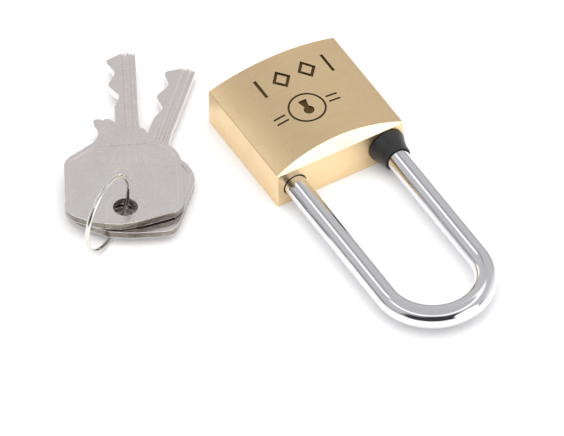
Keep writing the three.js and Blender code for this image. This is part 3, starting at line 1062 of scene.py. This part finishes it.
@dataclass
class FrontMarks:
    """Plain marks cut into the front: a row of bars and lozenges, and a keyhole in a ring."""

    low: float
    high: float
    stroke: float = 0.9
    row_y: float = -9.7
    row_height: float = 7.0
    bars_x: tuple[float, ...] = (-12.6, 8.6)
    lozenges_x: tuple[float, ...] = (-6.0, 2.0)
    lozenge_half: float = 2.9
    badge_x: float = 1.3
    badge_y: float = 3.0
    badge_radius: float = 5.4
    badge_stroke: float = 0.6
    keyhole_radius: float = 1.5
    keyhole_foot: float = 1.3
    keyhole_lift: float = 0.7
    keyhole_neck: float = 0.4
    keyhole_drop: float = 0.55
    wing_length: float = 3.6
    wing_gap: float = 1.0

    def raised(self, flat: Blank) -> Blank:
        """Turns a flat mark into a tool that reaches through the crown."""
        flat.carry(Matrix.Translation((0, 0, self.low)))
        return flat.thicken(Vector((0, 0, self.high - self.low)))

    def bar(self, x: float, y: float, width: float, height: float) -> Blank:
        """Makes a straight bar."""
        return box(
            Vector((x - width / 2, y - height / 2, self.low)),
            Vector((x + width / 2, y + height / 2, self.high)),
        )

    def lozenge(self, x: float) -> Blank:
        """Makes a lozenge drawn with one stroke."""
        y = self.row_y
        tall = self.row_height / 2
        wide = self.lozenge_half
        outer = [(x - wide, y), (x, y - tall), (x + wide, y), (x, y + tall)]
        slope = math.hypot(tall, wide) / tall
        narrow = wide - self.stroke * slope
        short = tall * narrow / wide
        inner = [(x - narrow, y), (x, y - short), (x + narrow, y), (x, y + short)]
        core = plate(inner)
        core.carry(Matrix.Translation((0, 0, self.low - OVERCUT)))
        core.thicken(Vector((0, 0, self.high - self.low + 2 * OVERCUT)))
        return self.raised(plate(outer)).combine(Join.CUT, core)

    def tools(self) -> list[Blank]:
        """Makes the tool for every mark."""
        marks = [self.bar(x, self.row_y, self.stroke, self.row_height) for x in self.bars_x]
        marks += [self.lozenge(x) for x in self.lozenges_x]
        bottom = Vector((self.badge_x, self.badge_y, self.low))
        top = Vector((self.badge_x, self.badge_y, self.high))
        reach = Vector((0, 0, OVERCUT))
        inner = rod(self.badge_radius - self.badge_stroke, bottom - reach, top + reach)
        marks.append(rod(self.badge_radius, bottom, top).combine(Join.CUT, inner))
        lift = Vector((0, self.keyhole_radius * self.keyhole_lift, 0))
        marks.append(rod(self.keyhole_radius, bottom + lift, top + lift, SMALL_SIDES))
        neck = self.keyhole_radius * self.keyhole_neck
        foot_y = self.badge_y - self.badge_radius * self.keyhole_drop
        foot = plate(
            [
                (self.badge_x - neck, self.badge_y),
                (self.badge_x - self.keyhole_foot, foot_y),
                (self.badge_x + self.keyhole_foot, foot_y),
                (self.badge_x + neck, self.badge_y),
            ]
        )
        marks.append(self.raised(foot))
        out = self.badge_radius + self.wing_gap + self.wing_length / 2
        for side in (-1, 1):
            for step in (-1, 1):
                y = self.badge_y + step * self.wing_gap
                marks.append(self.bar(self.badge_x + side * out, y, self.wing_length, self.badge_stroke))
        return marks


# ---- Shackle ----


@dataclass
class Shackle:
    """The chrome-plated bar: toe leg, bend and heel leg with its neck and flange."""

    layout: Layout
    wardrobe: Wardrobe
    toe_depth: float = 12.2
    shoulder_depth: float = 10.4
    neck_radius: float = 1.95
    flange_length: float = 2.0
    ball_out: float = 8.6
    notch_radius: float = 3.7
    sides: int = 64
    bend_steps: int = 96
    edge: float = 0.35

    def step_to(self, blank: Blank, rim: list, radius: float) -> list:
        """Steps the open end of the heel in or out to a radius, at the same height."""
        rim = blank.grow(rim, Vector((0, 0, 0)))
        points = list({point for edge in rim for point in edge.verts})
        now = math.hypot(points[0].co.x + self.layout.leg_x, points[0].co.z - self.layout.bar_z)
        share = radius / now
        centre = Matrix.Translation((self.layout.leg_x, 0, -self.layout.bar_z))
        bmesh.ops.scale(blank.shape, vec=(share, 1, share), space=centre, verts=points)
        return rim

    def build(self) -> bpy.types.Object:
        """Makes the shackle and dresses it."""
        at = self.layout
        toe_end = at.near_end - self.toe_depth
        shoulder = at.near_end - self.shoulder_depth
        bar = Blank()
        place = Matrix.Translation((at.leg_x, toe_end, at.bar_z)) @ Matrix.Rotation(QUARTER_TURN, 4, "X")
        bmesh.ops.create_circle(
            bar.shape, cap_ends=False, radius=at.bar_radius, segments=self.sides, matrix=place
        )
        toe_rim = list(bar.shape.edges)
        rim = bar.grow(toe_rim, Vector((0, at.bend_y - toe_end, 0)))
        points = list({point for edge in rim for point in edge.verts})
        arc = bmesh.ops.spin(
            bar.shape,
            geom=[*points, *rim],
            cent=(0, at.bend_y, at.bar_z),
            axis=(0, 0, 1),
            dvec=(0, 0, 0),
            angle=HALF_TURN,
            steps=self.bend_steps,
            use_merge=False,
            use_duplicate=False,
        )
        rim = only(Edge, arc["geom_last"])
        rim = bar.grow(rim, Vector((0, shoulder - at.bend_y, 0)))
        rim = self.step_to(bar, rim, self.neck_radius)
        rim = bar.grow(rim, Vector((0, at.heel_end + self.flange_length - shoulder, 0)))
        rim = self.step_to(bar, rim, at.bar_radius)
        rim = bar.grow(rim, Vector((0, -self.flange_length, 0)))
        bmesh.ops.contextual_create(bar.shape, geom=rim)
        bmesh.ops.contextual_create(bar.shape, geom=toe_rim)
        bar.weld().soften(self.edge, steps=3, sharper=math.radians(50))
        notches = [
            ball(self.notch_radius, Vector((side * self.ball_out, at.ball_y, at.ball_z))) for side in (-1, 1)
        ]
        bar = bar.combine(Join.CUT, *notches)
        card = Card("chrome_shackle", "shackle", ("shackle",), Slot.SHACKLE_CHROME, (CHROME,))
        return hand_over(bar, card, self.wardrobe)


@dataclass
class Collar:
    """The black plastic collar on the heel leg: a waisted cone with a thin lip."""

    layout: Layout
    wardrobe: Wardrobe
    inner: float = 3.45
    foot: float = 5.4
    foot_height: float = 0.5
    lip: float = 3.95
    lip_height: float = 0.5
    waist: float = 0.25
    edge: float = 0.08

    def build(self) -> bpy.types.Object:
        """Makes the collar and dresses it."""
        length = self.layout.collar_length
        flank_start = (self.foot, self.foot_height)
        flank_end = (self.lip, length - self.lip_height)
        pull = ((self.foot + self.lip) / 2 - self.waist * 2, length / 2)
        profile = [
            (self.inner, 0),
            (self.foot, 0),
            *bend(flank_start, pull, flank_end, steps=12),
            (self.lip, length),
            (self.inner, length),
        ]
        centre = Vector((-self.layout.leg_x, self.layout.collar_start, self.layout.bar_z))
        collar = turned(profile, centre).soften(self.edge)
        card = Card("plastic_collar", "shackle", ("shackle_collar",), Slot.COLLAR_PLASTIC, (BLACK_PLASTIC,))
        return hand_over(collar, card, self.wardrobe)


# ---- Cylinder ----


@dataclass
class Plug:
    """The plug that the key turns: warded keyway, pin holes, retaining groove and driving tongue."""

    layout: Layout
    wardrobe: Wardrobe
    rim: float = 0.35
    keyway_width: float = 2.6
    keyway_height: float = 8.4
    ward_depth: float = 0.55
    wards: tuple[tuple[float, float, int], ...] = ((-3.4, -2.7, 1), (-2.0, -1.1, 1), (-0.4, 0.5, -1))
    groove_half: float = 0.85
    groove_depth: float = 1.2
    keyway_land: float = 0.3
    hole_radius: float = 1.5
    tongue_width: float = 1.8
    tongue_height: float = 5.6
    tongue_length: float = 1.6

    def keyway(self) -> Blank:
        """Makes the tool for the keyway, with the wards left standing."""
        at = self.layout
        end = at.retainer_y - self.groove_half - self.keyway_land
        half = self.keyway_width / 2
        slot = box(
            Vector((-half, at.plug_start - OVERCUT, at.plug_z - self.keyway_height / 2)),
            Vector((half, end, at.plug_z + self.keyway_height / 2)),
        )
        wards = []
        for low, high, side in self.wards:
            near = side * (half - self.ward_depth)
            far = side * (half + OVERCUT)
            wards.append(
                box(
                    Vector((min(near, far), at.plug_start - 2 * OVERCUT, at.plug_z + low)),
                    Vector((max(near, far), end + OVERCUT, at.plug_z + high)),
                )
            )
        return slot.combine(Join.CUT, *wards)

    def build(self) -> bpy.types.Object:
        """Makes the plug and dresses it."""
        at = self.layout
        start = Vector((0, at.plug_start, at.plug_z))
        end = Vector((0, at.plug_end, at.plug_z))
        plug = rod(at.plug_radius, start, end).soften(self.rim, steps=3)
        inside = at.plug_radius - self.groove_depth
        outside = at.plug_radius + OVERCUT
        low = at.retainer_y - self.groove_half
        high = at.retainer_y + self.groove_half
        groove = turned(
            [(inside, low), (outside, low), (outside, high), (inside, high)], Vector((0, 0, at.plug_z))
        )
        holes = [
            rod(
                self.hole_radius,
                Vector((0, y, at.plug_z)),
                Vector((0, y, at.plug_z + at.plug_radius + OVERCUT)),
                SMALL_SIDES,
            )
            for y in at.pin_y
        ]
        plug = plug.combine(Join.CUT, groove, self.keyway(), *holes)
        half = Vector((self.tongue_width / 2, 0, self.tongue_height / 2))
        tongue = box(
            Vector((0, at.plug_end - OVERCUT, at.plug_z)) - half,
            Vector((0, at.plug_end + self.tongue_length, at.plug_z)) + half,
        )
        plug = plug.combine(Join.ADD, tongue)
        card = Card("keyway_plug", "plug", ("lock_plug",), Slot.PLUG_BRASS, (PLUG_BRASS,))
        return hand_over(plug, card, self.wardrobe)


# ---- Keys ----


@dataclass
class Key:
    """A nickel-plated key: broad bow with a recessed panel, shouldered neck and a cut, grooved blade.

    The key lies along its own X with its cuts towards Y. The ring hole is at its origin.
    """

    wardrobe: Wardrobe
    name: str
    body: str
    node: str
    hole: Vector
    upward: Vector
    heading: float
    thickness: float = 2.2
    hole_radius: float = 3.4
    tail: float = -6.7
    left: float = 16.3
    right: float = -15.9
    neck: float = 24.9
    bit_stop: float = 34.0
    stub_edge: float = 7.7
    blade_root: float = 1.7
    blade_back: float = -4.65
    reach: float = 59.5
    first_cut: float = 38.0
    cut_pitch: float = 4.5875
    cut_flat: float = 1.1
    cuts: tuple[float, ...] = (1.7, 0.4, 3.1, 1.3, 3.4)
    slit: float = 1.5
    notch_place: float = 5.1
    notch_half: float = 0.6
    tip_bevel: float = 0.8
    border: float = 1.35
    recess: float = 0.2
    relief: float = 0.16
    relief_stroke: float = 0.45
    loop_gap: float = 1.9
    badge_from_neck: float = 12.2
    badge_side: float = 0.3
    badge_radius: float = 2.7
    badge_dot: float = 0.8
    row_from_neck: float = 6.4
    row_half: float = 1.5
    row_marks: tuple[tuple[float, float], ...] = ((-6.2, 0.3), (-2.6, 1.0), (1.6, 1.0), (5.4, 0.3))
    groove_radius: float = 0.64
    groove_rise: float = 0.2
    groove_run_out: float = 3.2
    upper_grooves: tuple[float, ...] = (-1.5, -3.5)
    lower_groove: float = -0.4
    edge: float = 0.18

    def bow_plate(self) -> Blank:
        """Makes the bow's outline as a flat plate."""
        corners = [
            (self.tail, 1.5),
            (self.tail + 0.95, self.right + 11.7),
            (self.tail + 4.95, self.right),
            (self.neck - 5.1, self.right),
            (self.neck, self.right + 4.9),
            (self.neck + 0.6, self.right + 9.1),
            (self.neck, self.left - 8.2),
            (self.neck - 6.3, self.left),
            (self.tail + 4.7, self.left),
            (self.tail + 0.7, self.left - 8.3),
        ]
        return plate(corners, {1: 3.0, 2: 3.2, 3: 3.2, 4: 2.2, 7: 2.4, 8: 3.2, 9: 3.0})

    def panel(self, low: float, high: float) -> Blank:
        """Makes the tool for the shallow panel inside the bow's rim, between two heights."""
        tool = self.bow_plate()
        rim = bmesh.ops.inset_region(
            tool.shape,
            faces=list(tool.shape.faces),
            thickness=self.border,
            use_even_offset=True,
            use_boundary=True,
        )
        bmesh.ops.delete(tool.shape, geom=rim["faces"], context="FACES")
        tool.carry(Matrix.Translation((0, 0, low)))
        return tool.thicken(Vector((0, 0, high - low)))

    def blade(self) -> Blank:
        """Makes the neck and the blade with its cuts."""
        back = self.blade_back
        corners = [
            (self.neck - 3.0, self.right + 6.0),
            (self.neck + 0.8, back - 2.2),
            (self.neck + 4.2, back - 0.35),
            (self.bit_stop, back),
            (self.reach - self.tip_bevel, back),
            (self.reach, back + self.tip_bevel),
            (self.reach, -0.9),
        ]
        rounding = {1: 1.2, 2: 1.6, 4: 0.3, 5: 0.3, 6: 0.3}
        for number in reversed(range(len(self.cuts))):
            place = self.first_cut + number * self.cut_pitch
            for u in (place + self.cut_flat / 2, place - self.cut_flat / 2):
                rounding[len(corners)] = 0.45
                corners.append((min(u, self.reach - self.tip_bevel), self.cuts[number]))
        rounding[len(corners)] = 0.3
        corners += [
            (self.bit_stop - self.slit, self.blade_root),
            (self.bit_stop, self.blade_root + self.slit),
            (self.bit_stop, self.notch_place - self.notch_half),
            (self.bit_stop - self.notch_half, self.notch_place),
            (self.bit_stop, self.notch_place + self.notch_half),
            (self.bit_stop, self.stub_edge),
            (self.bit_stop - 2.2, self.stub_edge),
            (self.neck + 3.2, self.stub_edge - 1.7),
            (self.neck, self.stub_edge + 0.4),
            (self.neck - 3.0, self.stub_edge + 2.4),
        ]
        rounding.update({len(corners) - 5: 0.7, len(corners) - 4: 0.9, len(corners) - 3: 2.2})
        return plate(corners, rounding).thicken(Vector((0, 0, self.thickness)))

    def groove(self, side: float, height: float) -> Blank:
        """Makes the tool for a round-bottomed groove that runs out to a point at the neck."""
        start = self.neck + 2.0
        full = start + self.groove_run_out
        tool = Blank()
        place = Matrix.Translation(((start + full) / 2, side, height)) @ Matrix.Rotation(QUARTER_TURN, 4, "Y")
        bmesh.ops.create_cone(
            tool.shape,
            cap_ends=False,
            segments=SMALL_SIDES // 2,
            radius1=0.0,
            radius2=self.groove_radius,
            depth=self.groove_run_out,
            matrix=place,
        )
        tool.weld()
        rim = [edge for edge in tool.shape.edges if edge.is_boundary]
        end = tool.grow(rim, Vector((self.reach + OVERCUT - full, 0, 0)))
        bmesh.ops.contextual_create(tool.shape, geom=end)
        return tool.weld()

    def emblem(self) -> list[Blank]:
        """Makes the raised lines on the panel: a loop round the hole, a ringed dot and a row of bars."""
        floor = self.thickness - self.recess
        low = Vector((0, 0, floor - self.relief))
        high = Vector((0, 0, floor + self.relief))
        reach = Vector((0, 0, OVERCUT))

        def band(centre: Vector, radius: float) -> Blank:
            """Makes a raised ring round a centre."""
            inner = rod(radius - self.relief_stroke, centre + low - reach, centre + high + reach, SMALL_SIDES)
            return rod(radius, centre + low, centre + high, SMALL_SIDES).combine(Join.CUT, inner)

        def strip(first: tuple[float, float], second: tuple[float, float]) -> Blank:
            """Makes a raised block between two corners."""
            return box(Vector((*first, low.z)), Vector((*second, high.z)))

        stroke = self.relief_stroke
        loop_radius = self.hole_radius + self.loop_gap
        loop = band(Vector((0, 0, 0)), loop_radius)
        tail_half = strip((self.tail - OVERCUT, -loop_radius - OVERCUT), (0, loop_radius + OVERCUT))
        tail_half.carry(Matrix.Diagonal((1, 1, 3, 1)) @ Matrix.Translation((0, 0, -floor / 1.5)))
        loop = loop.combine(Join.CUT, tail_half)
        leg = strip((self.tail + self.border, loop_radius - stroke), (0.1, loop_radius))
        badge = Vector((self.neck - self.badge_from_neck, self.badge_side, 0))
        dot = rod(self.badge_dot, badge + low, badge + high, SMALL_SIDES)
        marks = [loop, leg, band(badge, self.badge_radius), dot]
        row = self.neck - self.row_from_neck
        start, end = row - self.row_half, row + self.row_half
        for side, half in self.row_marks:
            for line in (side - half, side + half):
                marks.append(strip((start, line), (end, line + stroke)))
        return marks

    def place(self) -> Matrix:
        """Gives the move from the key's own axes to where it lies."""
        slope = Vector((0, 0, 1)).rotation_difference(self.upward)
        swing = Quaternion((0, 0, 1), math.radians(self.heading))
        return Matrix.Translation(self.hole) @ (slope @ swing).to_matrix().to_4x4()

    def mark_walls(self, key: Blank) -> None:
        """Gives the bow's side walls the second finish, a darker metal that is painted shade."""
        key.shape.normal_update()
        for face in key.shape.faces:
            middle = face.calc_center_median()
            inside = self.recess + 0.02 < middle.z < self.thickness - self.recess - 0.02
            if abs(face.normal.z) < 0.2 and middle.x < self.neck and inside:
                face.material_index = 1

    def build(self) -> bpy.types.Object:
        """Makes the key and dresses it."""
        bow = self.bow_plate().thicken(Vector((0, 0, self.thickness)))
        key = bow.combine(Join.ADD, self.blade())
        bmesh.ops.dissolve_limit(
            key.shape, angle_limit=math.radians(0.5), verts=key.shape.verts, edges=key.shape.edges
        )
        key.soften(self.edge, steps=2, sharper=math.radians(60))
        hole = rod(
            self.hole_radius, Vector((0, 0, -OVERCUT)), Vector((0, 0, self.thickness + OVERCUT)), SMALL_SIDES
        )
        grooves = [self.groove(side, self.thickness + self.groove_rise) for side in self.upper_grooves]
        grooves.append(self.groove(self.lower_groove, -self.groove_rise))
        panels = [
            self.panel(self.thickness - self.recess, self.thickness + OVERCUT),
            self.panel(-OVERCUT, self.recess),
        ]
        key = key.combine(Join.CUT, hole, *grooves, *panels)
        key = key.combine(Join.ADD, *self.emblem())
        self.mark_walls(key)
        key.carry(self.place())
        card = Card(self.name, self.body, (self.node,), Slot.KEY_NICKEL, (NICKEL, SHADED_WALL_NICKEL))
        return hand_over(key, card, self.wardrobe)


@dataclass
class WireRing:
    """The split wire ring that stands through both keys."""

    wardrobe: Wardrobe
    wire: float = 0.65
    heading: float = 29.3
    gap: float = 0.8
    gap_angle: float = -62.0
    steps: int = 160
    sides: int = 24
    edge: float = 0.15

    def build(self) -> bpy.types.Object:
        """Makes the ring and dresses it."""
        low, high = box_of("key_ring")
        centre = (low + high) / 2
        radius = (high.z - low.z) / 2 - self.wire
        opening = self.gap / radius
        ring = Blank()
        bmesh.ops.create_circle(
            ring.shape,
            cap_ends=False,
            radius=self.wire,
            segments=self.sides,
            matrix=Matrix.Translation((radius, 0, 0)),
        )
        start = list(ring.shape.edges)
        arc = bmesh.ops.spin(
            ring.shape,
            geom=[*ring.shape.verts, *start],
            cent=(0, 0, 0),
            axis=(0, -1, 0),
            dvec=(0, 0, 0),
            angle=FULL_TURN - opening,
            steps=self.steps,
            use_merge=False,
            use_duplicate=False,
        )
        end = only(Edge, arc["geom_last"])
        bmesh.ops.contextual_create(ring.shape, geom=start)
        bmesh.ops.contextual_create(ring.shape, geom=end)
        ring.weld().soften(self.edge, steps=2, sharper=math.radians(60))
        first = math.radians(self.gap_angle) + opening / 2
        turn = Matrix.Rotation(math.radians(self.heading), 4, "Z") @ Matrix.Rotation(-first, 4, "Y")
        ring.carry(Matrix.Translation(centre) @ turn)
        card = Card("wire_ring", "key_ring", ("key_ring",), Slot.RING_STEEL, (RING_STEEL,))
        return hand_over(ring, card, self.wardrobe)


# ---- Pieces that keep their frame shape ----


def dress_frame_nodes(nodes: dict[str, bpy.types.Object], wardrobe: Wardrobe) -> None:
    """Gives every frame node that stays visible its finish.

    Args:
        nodes: The frame's nodes by name.
        wardrobe: The finishes.
    """
    looks = {
        "key_pin": PLUG_BRASS,
        "driver_pin": PIN_STEEL,
        "pin_spring": SPRING_STEEL,
        "shackle_spring": SPRING_STEEL,
        "toe_ball": BALL_STEEL,
        "heel_ball": BALL_STEEL,
        "locking_cam": PIN_STEEL,
        "heel_stop_pin": PIN_STEEL,
        "plug_retaining_pin": PIN_STEEL,
    }
    for name, node in nodes.items():
        finish = next((look for start, look in looks.items() if name.startswith(start)), None)
        if finish is None:
            continue
        node.data.materials.clear()
        node.data.materials.append(wardrobe.get(finish))
        LOG.info("%s keeps its frame shape", name)


# ---- Studio ----


@dataclass(frozen=True)
class Glow:
    """A soft patch of brightness round the studio, seen only in reflections."""

    azimuth: float
    elevation: float
    inner: float
    outer: float
    light: float

    def direction(self) -> Vector:
        """Gives the way towards the patch. Azimuth 0 is along +Y and 90 along +X."""
        across = math.radians(self.azimuth)
        up = math.radians(self.elevation)
        return Vector((math.sin(across) * math.cos(up), math.cos(across) * math.cos(up), math.sin(up)))


@dataclass
class Studio:
    """The pale floor, the soft light and the camera.

    The camera's and the floor's sizes are in millimetres. The lens reach and the lamp are in metres.
    """

    azimuth: float = 149.882
    elevation: float = 47.138
    roll: float = -0.59
    distance: float = 3435.3
    scale: float = 3.639
    sensor: float = 36.0
    frame_width: int = 564
    aim_right: float = -6.594
    aim_up: float = -22.30
    lens_reach: float = 100.0
    floor_half: float = 4000.0
    floor_tone: float = 0.90
    floor_roughness: float = 0.6
    floor_gloss: float = 0.2
    lamp_place: tuple[float, float, float] = (0.2, 0.3, 1.6)
    lamp_size: float = 2.6
    lamp_watts: float = 33.0
    horizon_light: float = 0.42
    middle_light: float = 0.66
    middle_height: float = 0.4
    zenith_light: float = 0.60
    band_height: float = 0.80
    band_core: float = 0.025
    band_fade: float = 0.07
    band_light: float = 1.5
    band_from_y: float = -0.5
    band_full_y: float = -0.25
    glows: tuple[Glow, ...] = (
        Glow(-80, -4, 10, 34, 1.0),
        Glow(68, 0, 5, 14, 1.0),
        Glow(120, 2, 6, 20, 0.38),
        Glow(-172, 51, 2, 8, 0.42),
        Glow(158, 53, 3, 8, 1.7),
        Glow(-4, 20, 14, 28, 0.05),
        Glow(26, 20, 18, 32, 0.05),
        Glow(56, 16, 12, 28, 0.05),
        Glow(-24, 11, 10, 24, 3.2),
        Glow(163, 4, 5, 17, 1.5),
    )

    def camera(self) -> None:
        """Makes the camera at the viewing angle."""
        across = math.radians(self.azimuth)
        up_angle = math.radians(self.elevation)
        roll = math.radians(self.roll)
        flat = math.cos(up_angle)
        back = Vector((math.sin(across) * flat, -math.cos(across) * flat, math.sin(up_angle)))
        level = Vector((math.cos(across), math.sin(across), 0))
        upright = back.cross(level)
        right = math.cos(roll) * level + math.sin(roll) * upright
        up = -math.sin(roll) * level + math.cos(roll) * upright
        aim = right * self.aim_right + up * self.aim_up
        data = bpy.data.cameras.new("camera")
        data.sensor_width = self.sensor
        data.lens = self.scale * self.distance * self.sensor / self.frame_width
        data.clip_end = self.lens_reach
        camera = bpy.data.objects.new("camera", data)
        turn = Matrix((right, up, back)).transposed().to_4x4()
        camera.matrix_world = Matrix.Translation((aim + back * self.distance) * MM) @ turn
        bpy.context.scene.collection.objects.link(camera)
        bpy.context.scene.camera = camera

    def floor(self) -> None:
        """Makes the plain pale floor."""
        blank = Blank()
        bmesh.ops.create_grid(blank.shape, x_segments=1, y_segments=1, size=self.floor_half * MM)
        recipe = Recipe("floor_paper")
        recipe.shader.inputs["Base Color"].default_value = (self.floor_tone,) * 3 + (1,)
        recipe.shader.inputs["Roughness"].default_value = self.floor_roughness
        recipe.shader.inputs["Specular IOR Level"].default_value = self.floor_gloss
        floor = blank.release("floor")
        floor.data.materials.append(recipe.material)

    def lamp(self) -> None:
        """Makes the soft lamp overhead, which shows in no reflection."""
        data = bpy.data.lights.new("overhead", "AREA")
        data.shape = "DISK"
        data.size = self.lamp_size
        data.energy = self.lamp_watts
        lamp = bpy.data.objects.new("overhead", data)
        lamp.location = self.lamp_place
        lamp.rotation_euler = Vector(self.lamp_place).to_track_quat("Z", "Y").to_euler()
        lamp.visible_glossy = False
        bpy.context.scene.collection.objects.link(lamp)

    def surround(self) -> None:
        """Makes the studio's walls of light, which reflections see, and a plain backdrop."""
        world = bpy.data.worlds.new("studio")
        bpy.context.scene.world = world
        sheet = Sheet(world)
        where = sheet.add("ShaderNodeTexCoord").outputs["Generated"]
        parts = sheet.add("ShaderNodeSeparateXYZ")
        sheet.link(where, parts.inputs["Vector"])
        rise = sheet.add("ShaderNodeValToRGB")
        sheet.link(parts.outputs["Z"], rise.inputs["Fac"])
        stops = rise.color_ramp.elements
        stops[0].position, stops[0].color = 0.0, (self.horizon_light,) * 3 + (1,)
        stops[1].position, stops[1].color = 1.0, (self.zenith_light,) * 3 + (1,)
        stops.new(self.middle_height).color = (self.middle_light,) * 3 + (1,)
        off_band = sheet.maths("ABSOLUTE", sheet.maths("SUBTRACT", parts.outputs["Z"], self.band_height), 0.0)
        near = sheet.ranged(off_band, self.band_fade, self.band_core, kind="SMOOTHSTEP")
        side = sheet.ranged(parts.outputs["Y"], self.band_from_y, self.band_full_y, kind="SMOOTHSTEP")
        share = sheet.maths("MULTIPLY", near, side)
        light = sheet.blend(share, rise.outputs["Color"], (self.band_light,) * 3)
        for glow in self.glows:
            toward = sheet.add("ShaderNodeVectorMath", operation="DOT_PRODUCT")
            toward.inputs[1].default_value = glow.direction()
            sheet.link(where, toward.inputs[0])
            outer, inner = (math.cos(math.radians(angle)) for angle in (glow.outer, glow.inner))
            share = sheet.ranged(toward.outputs["Value"], outer, inner, kind="SMOOTHSTEP")
            light = sheet.blend(share, light, (glow.light,) * 3)
        seen = sheet.add("ShaderNodeLightPath").outputs["Is Camera Ray"]
        sheet.link(sheet.blend(seen, light, (1.0, 1.0, 1.0)), sheet.tree.nodes["Background"].inputs["Color"])

    def build(self) -> None:
        """Makes the whole studio."""
        self.camera()
        self.floor()
        self.lamp()
        self.surround()
        bpy.context.scene.view_settings.view_transform = "Standard"


# ---- The whole object ----


def joint_named(frame: dict, name: str) -> dict:
    """Gives one of the frame's joints by name."""
    return next(joint for joint in frame["joints"] if joint["name"] == name)


def key_on(frame: dict, wardrobe: Wardrobe, which: str, heading: float) -> Key:
    """Makes a key where the frame hangs it.

    Args:
        frame: The frame.
        wardrobe: The finishes.
        which: Front or rear.
        heading: The way that its blade points, in degrees from +X.

    Returns:
        The key, ready to build.
    """
    joint = joint_named(frame, f"{which}_key_swing")
    return Key(
        wardrobe=wardrobe,
        name=f"{which}_flat_key",
        body=f"{which}_key",
        node=f"{which}_key",
        hole=Vector(joint["pos_m"]) / MM,
        upward=Vector(joint["axis"]),
        heading=heading,
    )


def main() -> None:
    """Builds every piece round the frame, in order, and reports each one."""
    logging.basicConfig(level=logging.INFO, format="%(name)s: %(message)s")
    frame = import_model()
    layout = Layout.read()
    wardrobe = Wardrobe()
    Studio().build()
    LockBody(layout, wardrobe).build()
    ChamberPlugs(layout, wardrobe).build()
    Shackle(layout, wardrobe).build()
    Collar(layout, wardrobe).build()
    Plug(layout, wardrobe).build()
    key_on(frame, wardrobe, "front", FRONT_KEY_HEADING).build()
    key_on(frame, wardrobe, "rear", REAR_KEY_HEADING).build()
    WireRing(wardrobe).build()
    dress_frame_nodes(frame["nodes"], wardrobe)


if __name__ == "__main__":
    main()
